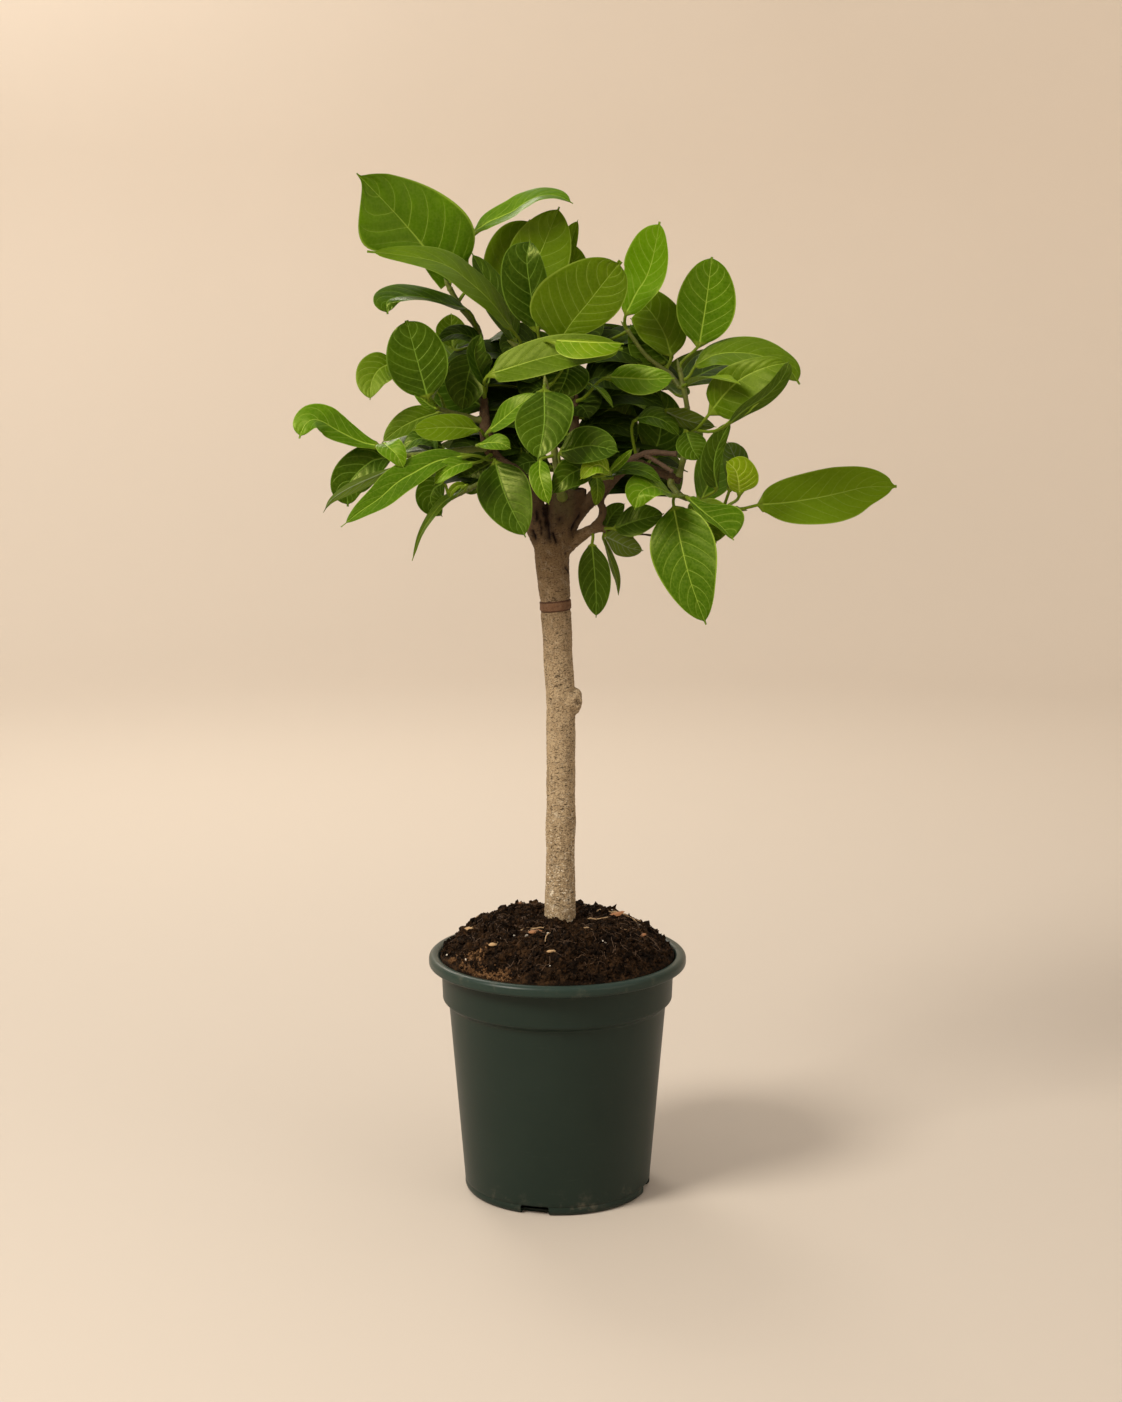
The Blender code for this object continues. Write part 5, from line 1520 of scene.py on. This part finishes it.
        (212, 810, -110), (220, 823, -110), (223, 833, -108)), 19, (0.3, -0.8, -0.4), widest=0.5, fold=4,
        tone=0.9, roundness=0.45, quilt=0.0),
    "small_leaf_right_9": leaf("shoot_right_top", ((108, 832, 14), (95, 844, 16), (82, 857, 18),
        (70, 868, 18)), 46, (0, -0.95, 0.2)),
}
print("small leaves", len(SMALL_LEAVES))

# %% [markdown]
# A blade's outline is one formula: a sine whose middle is moved towards the base or the tip, raised
# to a power that makes it fuller, and joined to a short drip tip. Its two halves may differ. Each
# loop of the master then gets its centre, its side and up directions and the width of either half,
# first along the stalk and then along the midrib.

# %% Outline and loops of a leaf
CURVE_STEP = 0.01
LOOP_EASE = 0.06
STALK_SINK = 0.6


def bezier(a, b, c, d, t):
    """The place at the share t of a curve from a to d that heads for b and comes from c."""
    s = 1 - t
    return a * s ** 3 + b * 3 * s * s * t + c * 3 * s * t * t + d * t ** 3


def curve_through(spots, t):
    """The place at the share t of a smooth curve through spots."""
    spots = [spots[0] * 2 - spots[1]] + spots + [spots[-1] * 2 - spots[-2]]
    spans = len(spots) - 3
    i = min(int(t * spans), spans - 1)
    return on_curve(*spots[i:i + 4], t * spans - i)


def blade_share(t, widest, roundness, tip):
    """Half width of a blade at the share t of its length, as a share of its greatest half width."""
    inner = min(t / (1 - 0.7 * tip), 0.9995)
    stretched = max(inner, 0.002) ** (math.log(0.5) / math.log(widest))
    oval = max(math.sin(math.pi * stretched), 0.0) ** roundness
    drip = 0.26 * min((1 - t) / (3.2 * tip), 1.0) ** 1.5
    return (oval ** 4 + drip ** 4) ** 0.25 + 0.01


def half_width(style, side_name, widest, t):
    """One side of a leaf, which may have a share, a widest place and a roundness of its own."""
    share, widest, *own = style[side_name] or (1.0, widest)
    return share * blade_share(t, widest, own[0] if own else style["roundness"], style["tip"])


def leaf_frames(carrier, hint, spine, width, face, widest, twist, style):
    """For each loop: centre, side, up, width of the left and right half, share along."""
    spine = [place(point) for point in spine]
    face = Vector(face)

    def heading(t):
        ahead, behind = min(t + CURVE_STEP, 1.0), max(t - CURVE_STEP, 0.0)
        return (curve_through(spine, ahead) - curve_through(spine, behind)).normalized()

    base, start = spine[0], heading(0.0)
    across = start.cross(face).normalized()
    seat, outward = carrier_seat(paths[carrier], hint, base)
    reach = (base - seat).length / 3
    stalk = (seat - outward * STALK_SINK, seat + outward * reach, base - start * reach, base)
    frames = []
    for loop in range(STALK_LOOPS):
        t = loop / STALK_LOOPS
        centre = bezier(*stalk, t)
        way = (bezier(*stalk, t + CURVE_STEP) - centre).normalized()
        side = (across - way * across.dot(way)).normalized()
        frames.append((centre, side, side.cross(way), STALK_RADIUS, STALK_RADIUS, t - 1.0))
    for loop in range(BLADE_LOOPS + 1):
        share = loop / BLADE_LOOPS
        t = share - LOOP_EASE * math.sin(math.tau * share)
        way = heading(t)
        side = way.cross(face).normalized()
        up = side.cross(way)
        turn = math.radians(twist) * (t - 0.5)
        side, up = side * math.cos(turn) + up * math.sin(turn), up * math.cos(turn) - side * math.sin(turn)
        halves = [half_width(style, side_name, widest, t) * width / 2 for side_name in ("left", "right")]
        frames.append((curve_through(spine, t), side, up, *halves, t))
    length = sum((b[0] - a[0]).length for a, b in zip(frames[STALK_LOOPS:], frames[STALK_LOOPS + 1:]))
    return frames, length


# %% [markdown]
# All points of a leaf are then placed at once, as arrays. The flat blade is folded along its midrib
# and gets its thickness, the swellings between its side veins, its waves, its cup, a groove above the
# midrib and ribs below the veins. The swellings and waves grow with the leaf.

# %% Points of a leaf
RIPPLES = 1.6
SWAY = 0.8
GROOVE_DEPTH = 0.45
RIB_DEPTH = 1.1
SIDE_RIB_DEPTH = 0.30
ROUND_BASE = 0.03
LARGE_HALF = 30.0


def ease_in(value, width):
    """0 at 0, 1 from the width on."""
    return np.clip(value / width, 0.0, 1.0)


def leaf_points(frames, length, fold, style, rng):
    """All points of one leaf in millimetres, and its two attributes."""
    centre, side, up = (np.array([tuple(f[i]) for f in frames])[LOOP] for i in range(3))
    left_half, right_half, share = (np.array([f[i] for f in frames])[LOOP] for i in (3, 4, 5))
    half = np.where(ACROSS < 0, right_half, left_half)
    v = np.clip(share, 0.0, 1.0)
    out = np.abs(ACROSS)
    stalk = share < 0.0
    across = out * half
    lift = math.radians(fold) * ease_in(v, 0.06)
    phase = (v - VEIN_RISE * out - VEIN_ARCH * out ** 2) * style["veins"]
    fade = ease_in(v, 0.1) * ease_in(1.0 - v, 0.08)
    size = half.max() / LARGE_HALF
    quilt = style["quilt"] * size * (0.5 + 0.5 * np.cos(math.tau * phase)) * (1.0 - out ** 4) * out ** 0.4
    right_wave, left_wave, sway_wave = (rng.uniform(0.0, math.tau) for _ in range(3))
    wave = np.where(ACROSS < 0, right_wave, left_wave)
    ripple = np.sin(v * RIPPLES * math.tau + wave) + 0.5 * np.sin(v * 9.5 + wave * 2.3)
    ripple = style["wave"] * size * ripple * out ** 2.5
    sway = SWAY * size * np.sin(v * 5.0 + sway_wave) * ACROSS
    cup = style["cup"] * half * out ** 2
    groove = -GROOVE_DEPTH * np.exp(-(across / 1.5) ** 2) * (1.0 - v)
    middle = (quilt + ripple + sway + cup) * fade + np.where(UPPER, groove, 0.0)
    round_end = np.exp(-v / ROUND_BASE)
    power = 2.0 + 6.0 * (1.0 - round_end)
    body = (BLADE_THICKNESS / 2 + (STALK_RADIUS - BLADE_THICKNESS / 2) * round_end)
    body = body * np.sqrt(np.clip(1.0 - out ** power, 0.0, 1.0))
    rib = (RIB_DEPTH * (1.0 - v) ** 1.3 + 0.15) * np.exp(-(across / 1.3) ** 2) * (1.0 - round_end)
    near_vein = np.clip(np.abs((phase % 1.0) - 0.5) * -10.0 + 1.0, 0.0, 1.0)
    ribs = SIDE_RIB_DEPTH * near_vein * fade * (1.0 - out ** 3)
    height = np.where(UPPER, middle + body, middle - body - rib - ribs)
    flat = half * -ACROSS * np.cos(lift)
    rise = across * np.sin(lift) + height
    swell = STALK_RADIUS * (1.0 + 0.35 * np.exp(-((share + 1.0) / 0.12) ** 2))
    flat = np.where(stalk, swell * -np.cos(ANGLE), flat)
    rise = np.where(stalk, swell * np.sin(ANGLE), rise)
    points = centre + side * flat[:, None] + up * rise[:, None]
    tone = np.full(len(v), style["tone"])
    blade = np.stack((ACROSS, share, tone), axis=1)
    measure = np.stack((half, np.full(len(v), length), np.full(len(v), style["veins"])), axis=1)
    return points, blade, measure


leaf_master = make_rod("leaf_master", LEAF_SIDES, LEAF_LOOPS)
corners = np.array([tuple(v.co) for v in leaf_master.data.vertices])
LOOP = np.rint(corners[:, 2] * LEAF_LOOPS).astype(int)
ANGLE = np.arctan2(corners[:, 1], corners[:, 0])
ACROSS = 1.0 - 2.0 * np.abs(ANGLE) / math.pi
UPPER = corners[:, 1] >= 0.0
for polygon in leaf_master.data.polygons:
    polygon.material_index = 0 if polygon.center.y > 0.0 and abs(polygon.normal.z) < 0.5 else 1
print("leaf master", len(leaf_master.data.polygons), "faces")

# %% [markdown]
# ## How a leaf is coloured
#
# The upper face is glossy, the lower one paler and duller, so a leaf wears two materials. There are
# five such pairs: dark old leaves, bright younger ones, olive ones, fresh lime ones, and a darker copy
# of the dark pair, painted shade, for the leaves deep in the head. In each, the midrib is drawn from
# the distance to the middle, the side veins from a height that climbs and arches outwards, and a thin
# pale line follows the margin. The upper face is painted darker towards the base of the blade, as
# shade. A share of translucent shader lets light from behind glow through.

# %% Leaf finishes
LEAF_TINTS = {
    "leaf_dark": {
        "deep": (0.013, 0.040, 0.0006), "light": (0.062, 0.130, 0.0008), "vein": (0.170, 0.290, 0.030),
        "under": (0.085, 0.140, 0.018), "glow": (0.09, 0.21, 0.002), "gloss": 0.27},
    "leaf_bright": {
        "deep": (0.045, 0.115, 0.0006), "light": (0.125, 0.270, 0.0008), "vein": (0.300, 0.440, 0.045),
        "under": (0.130, 0.200, 0.026), "glow": (0.20, 0.38, 0.002), "gloss": 0.31},
    "leaf_olive": {
        "deep": (0.052, 0.105, 0.0006), "light": (0.130, 0.225, 0.0008), "vein": (0.230, 0.330, 0.035),
        "under": (0.110, 0.165, 0.020), "glow": (0.22, 0.35, 0.002), "gloss": 0.37},
    "leaf_lime": {
        "deep": (0.085, 0.200, 0.0008), "light": (0.240, 0.350, 0.0012), "vein": (0.400, 0.520, 0.060),
        "under": (0.18, 0.26, 0.03), "glow": (0.28, 0.46, 0.002), "gloss": 0.33},
    # A darker copy of the dark leaf finish: painted shade for the leaves deep in the head
    "leaf_dark_shaded": {
        "deep": (0.008, 0.026, 0.0004), "light": (0.036, 0.076, 0.0006), "vein": (0.085, 0.150, 0.016),
        "under": (0.050, 0.085, 0.010), "glow": (0.05, 0.12, 0.002), "gloss": 0.55},
}
LEAF_SLOTS = {"leaf_lime": "leaf_bright", "leaf_dark_shaded": "leaf_dark"}
SHEEN_TINT = (0.90, 1.0, 0.24)
LIGHT_THROUGH = 0.30


def leaf_finish(name, upper, deep, light, vein, under, glow, gloss):
    """The finish of the upper or the lower face."""
    finish = Finish(name, Specular_IOR_Level=0.38 if upper else 0.14, Specular_Tint=tint(*SHEEN_TINT))
    u, v, tone = finish.parts(finish.attribute("blade"))
    half, length, veins = finish.parts(finish.attribute("measure"))
    out = abs(u)
    across = out * half
    cloud = finish.grain(26.0, 3.0, 0.55)
    phase = (v - out * VEIN_RISE - out * out * VEIN_ARCH + cloud * 0.02) * veins
    off = abs(finish.math("FRACT", phase) - 0.5)
    beside = off / veins * length * 0.85
    on_blade = finish.between(v, 0.0, 0.02)
    inside = 1 - finish.between(out, 0.70, 0.97)
    lateral = (1 - finish.between(beside, 0.08, 0.50)) * inside * finish.between(v, 0.03, 0.09)
    halo = (1 - finish.between(beside, 0.2, 2.2)) * inside
    midrib = 1 - finish.between(across / (1.35 - v), 0.35, 0.95)
    margin = finish.between(out, 0.940, 0.978)
    net = finish.cells(2.6)
    if upper:
        base = finish.mix(finish.between(tone + cloud * 0.9 - 0.45, 0.0, 1.0), deep, light)
        # The first layer darkens the blade towards its base: painted shade, as leaf bases sit in the shade
        # of the head.
        base = finish.layers(
            base, ((1 - v) * (1 - v) * 0.30, deep), ((1 - halo) * 0.16, deep),
            (finish.between(net, 0.30, 0.75) * 0.12 + halo * 0.08, vein), (lateral * 0.74, vein),
            (midrib * 0.85, [min(1.0, c * 1.25) for c in vein]), (margin * 0.80, vein))
        finish.roughness(gloss + cloud * 0.10 + lateral * 0.06)
        finish.relief(net * 0.10 + cloud * 0.3 - lateral * 0.45 - midrib * 0.7, 0.55)
    else:
        dim = [c * 0.72 for c in under]
        base = finish.mix(finish.between(tone + cloud * 0.5 - 0.25, 0.0, 1.0), dim, under)
        pale = [c * 0.5 + 0.12 for c in vein]
        base = finish.layers(base, (lateral * 0.55 + halo * 0.10, pale), (midrib * 0.85, pale))
        finish.roughness(0.52 + cloud * 0.12)
        finish.relief(net * 0.25 + lateral * 0.5 + midrib * 0.6, 0.45)
    stalk_green = finish.mix(cloud, (0.115, 0.175, 0.010), (0.215, 0.300, 0.025))
    finish.colour(finish.mix(on_blade, stalk_green, base))
    glowing = finish.node("BsdfTranslucent", {}, {"Color": tint(*glow)})
    both = finish.node("MixShader", {}, {0: LIGHT_THROUGH, 1: finish.shader.outputs[0],
                                         2: glowing.outputs[0]})
    finish.feed(finish.tree.nodes["Material Output"].inputs["Surface"], both.outputs[0])
    return finish.material


leaf_pairs = {}
for name, tints in LEAF_TINTS.items():
    leaf_pairs[name] = [leaf_finish(name + "_upper", True, **tints),
                        leaf_finish(name + "_under", False, **tints)]
print("leaf finishes", list(leaf_pairs))

# %% [markdown]
# No two leaves are alike. The plain style holds the usual values, two of them are varied by random
# numbers that are seeded with the leaf's place in its table, and what its row says has the last
# word. Each leaf is a copy of the master whose points are moved to where its own curves put them.

# %% Grow the leaves
PLAIN_STYLE = {"roundness": 0.62, "tip": 0.05, "cup": 0.0, "wave": 0.90, "quilt": 0.8, "veins": 7.0,
               "tone": 0.5, "left": None, "right": None}
SHARP_ANGLE = 70
FIRST_SEED = 100
SMALL_FROM = 200
FILL_FROM = 300


def grow_leaf(name, index, row, nodes=()):
    """Copies the master, lays it out as a table row says and gives it its finish."""
    carrier, hint, spine, width, face, widest, fold, twist, finish, own_style = row
    rng = random.Random(FIRST_SEED + index)
    style = dict(PLAIN_STYLE)
    style["tone"] += rng.uniform(-0.22, 0.22)
    style["cup"] += rng.uniform(-0.05, 0.07)
    style.update(own_style)
    frames, length = leaf_frames(carrier, hint, spine, width, face, widest, twist, style)
    points, blade, measure = leaf_points(frames, length, fold, style, rng)
    piece = copy_of(leaf_master, name)
    piece.data.vertices.foreach_set("co", (points * MM).astype(np.float32).ravel())
    for attribute, values in (("blade", blade), ("measure", measure)):
        layer = piece.data.attributes.new(attribute, "FLOAT_VECTOR", "POINT")
        layer.data.foreach_set("vector", values.astype(np.float32).ravel())
    piece.data.shade_smooth()
    piece.data.set_sharp_from_angle(angle=math.radians(SHARP_ANGLE))
    indices = [p.material_index for p in piece.data.polygons]
    finish_piece(piece, leaf_pairs[finish], LEAF_SLOTS.get(finish, finish), *nodes)
    piece.data.polygons.foreach_set("material_index", indices)
    piece.data.update()


for index, (name, row) in enumerate(LEAVES.items()):
    grow_leaf("grown_" + name, index, row, (name,))
for index, (name, row) in enumerate(SMALL_LEAVES.items()):
    grow_leaf(name, SMALL_FROM + index, row)
print("grown", len(LEAVES) + len(SMALL_LEAVES), "leaves")

# %% [markdown]
# Inside the head it is dark, because old leaves fill it on all sides, and these leaves wear the darker
# copy of the dark finish, which is painted shade. They follow a rule and not a table: each turns on
# from the last by the golden angle, as leaves do round a stem, climbs a little, and springs from
# whatever wood is nearest. They reach further to the sides and the back than to the front, where the
# leaves of the tables are.

# %% Leaves inside the head
FILL_LEAVES = 46
GOLDEN_ANGLE = math.pi * (3.0 - math.sqrt(5.0))
HEAD_FOOT, HEAD_TOP = 706.0, 862.0
HEAD_MIDDLE = (4.0, 26.0)
SIDE_REACH, BACK_REACH, FRONT_REACH = 1.25, 0.8, 0.35


def nearest_carrier(spot):
    """The limb or shoot that passes closest to a place."""
    return min(paths, key=lambda name: min((spot - point).length for point, _ in paths[name]))


def fill_leaf_row(index):
    """The table row of one leaf inside the head."""
    level = (index + 0.5) / FILL_LEAVES
    angle = index * GOLDEN_ANGLE
    ahead, aside = math.cos(angle), math.sin(angle)
    height = HEAD_FOOT + (HEAD_TOP - HEAD_FOOT) * level
    start = 26.0 + 10.0 * math.sin(index * 1.7)
    length = 74.0 - 22.0 * level
    depth = BACK_REACH if aside > 0 else FRONT_REACH
    spine = []
    for share in (0.0, 0.33, 0.67, 1.0):
        out = start + length * share
        spine.append((HEAD_MIDDLE[0] + SIDE_REACH * ahead * out, height + 26.0 * share - 34.0 * share ** 2,
                      HEAD_MIDDLE[1] + depth * aside * out))
    face = (0.35 * ahead, 0.45 * aside - 0.35, 0.75)
    width = 44.0 + 8.0 * math.sin(index * 2.3)
    # These leaves wear the darker copy of the dark leaf finish, which is painted shade.
    return leaf(nearest_carrier(place(spine[0])), spine, width, face, widest=0.46, fold=10,
                finish="leaf_dark_shaded", tone=0.35)


for index in range(FILL_LEAVES):
    grow_leaf(f"fill_leaf_{index + 1}", FILL_FROM + index, fill_leaf_row(index))
bpy.data.objects.remove(leaf_master, do_unlink=True)
print("leaves", len(LEAVES) + len(SMALL_LEAVES) + FILL_LEAVES)
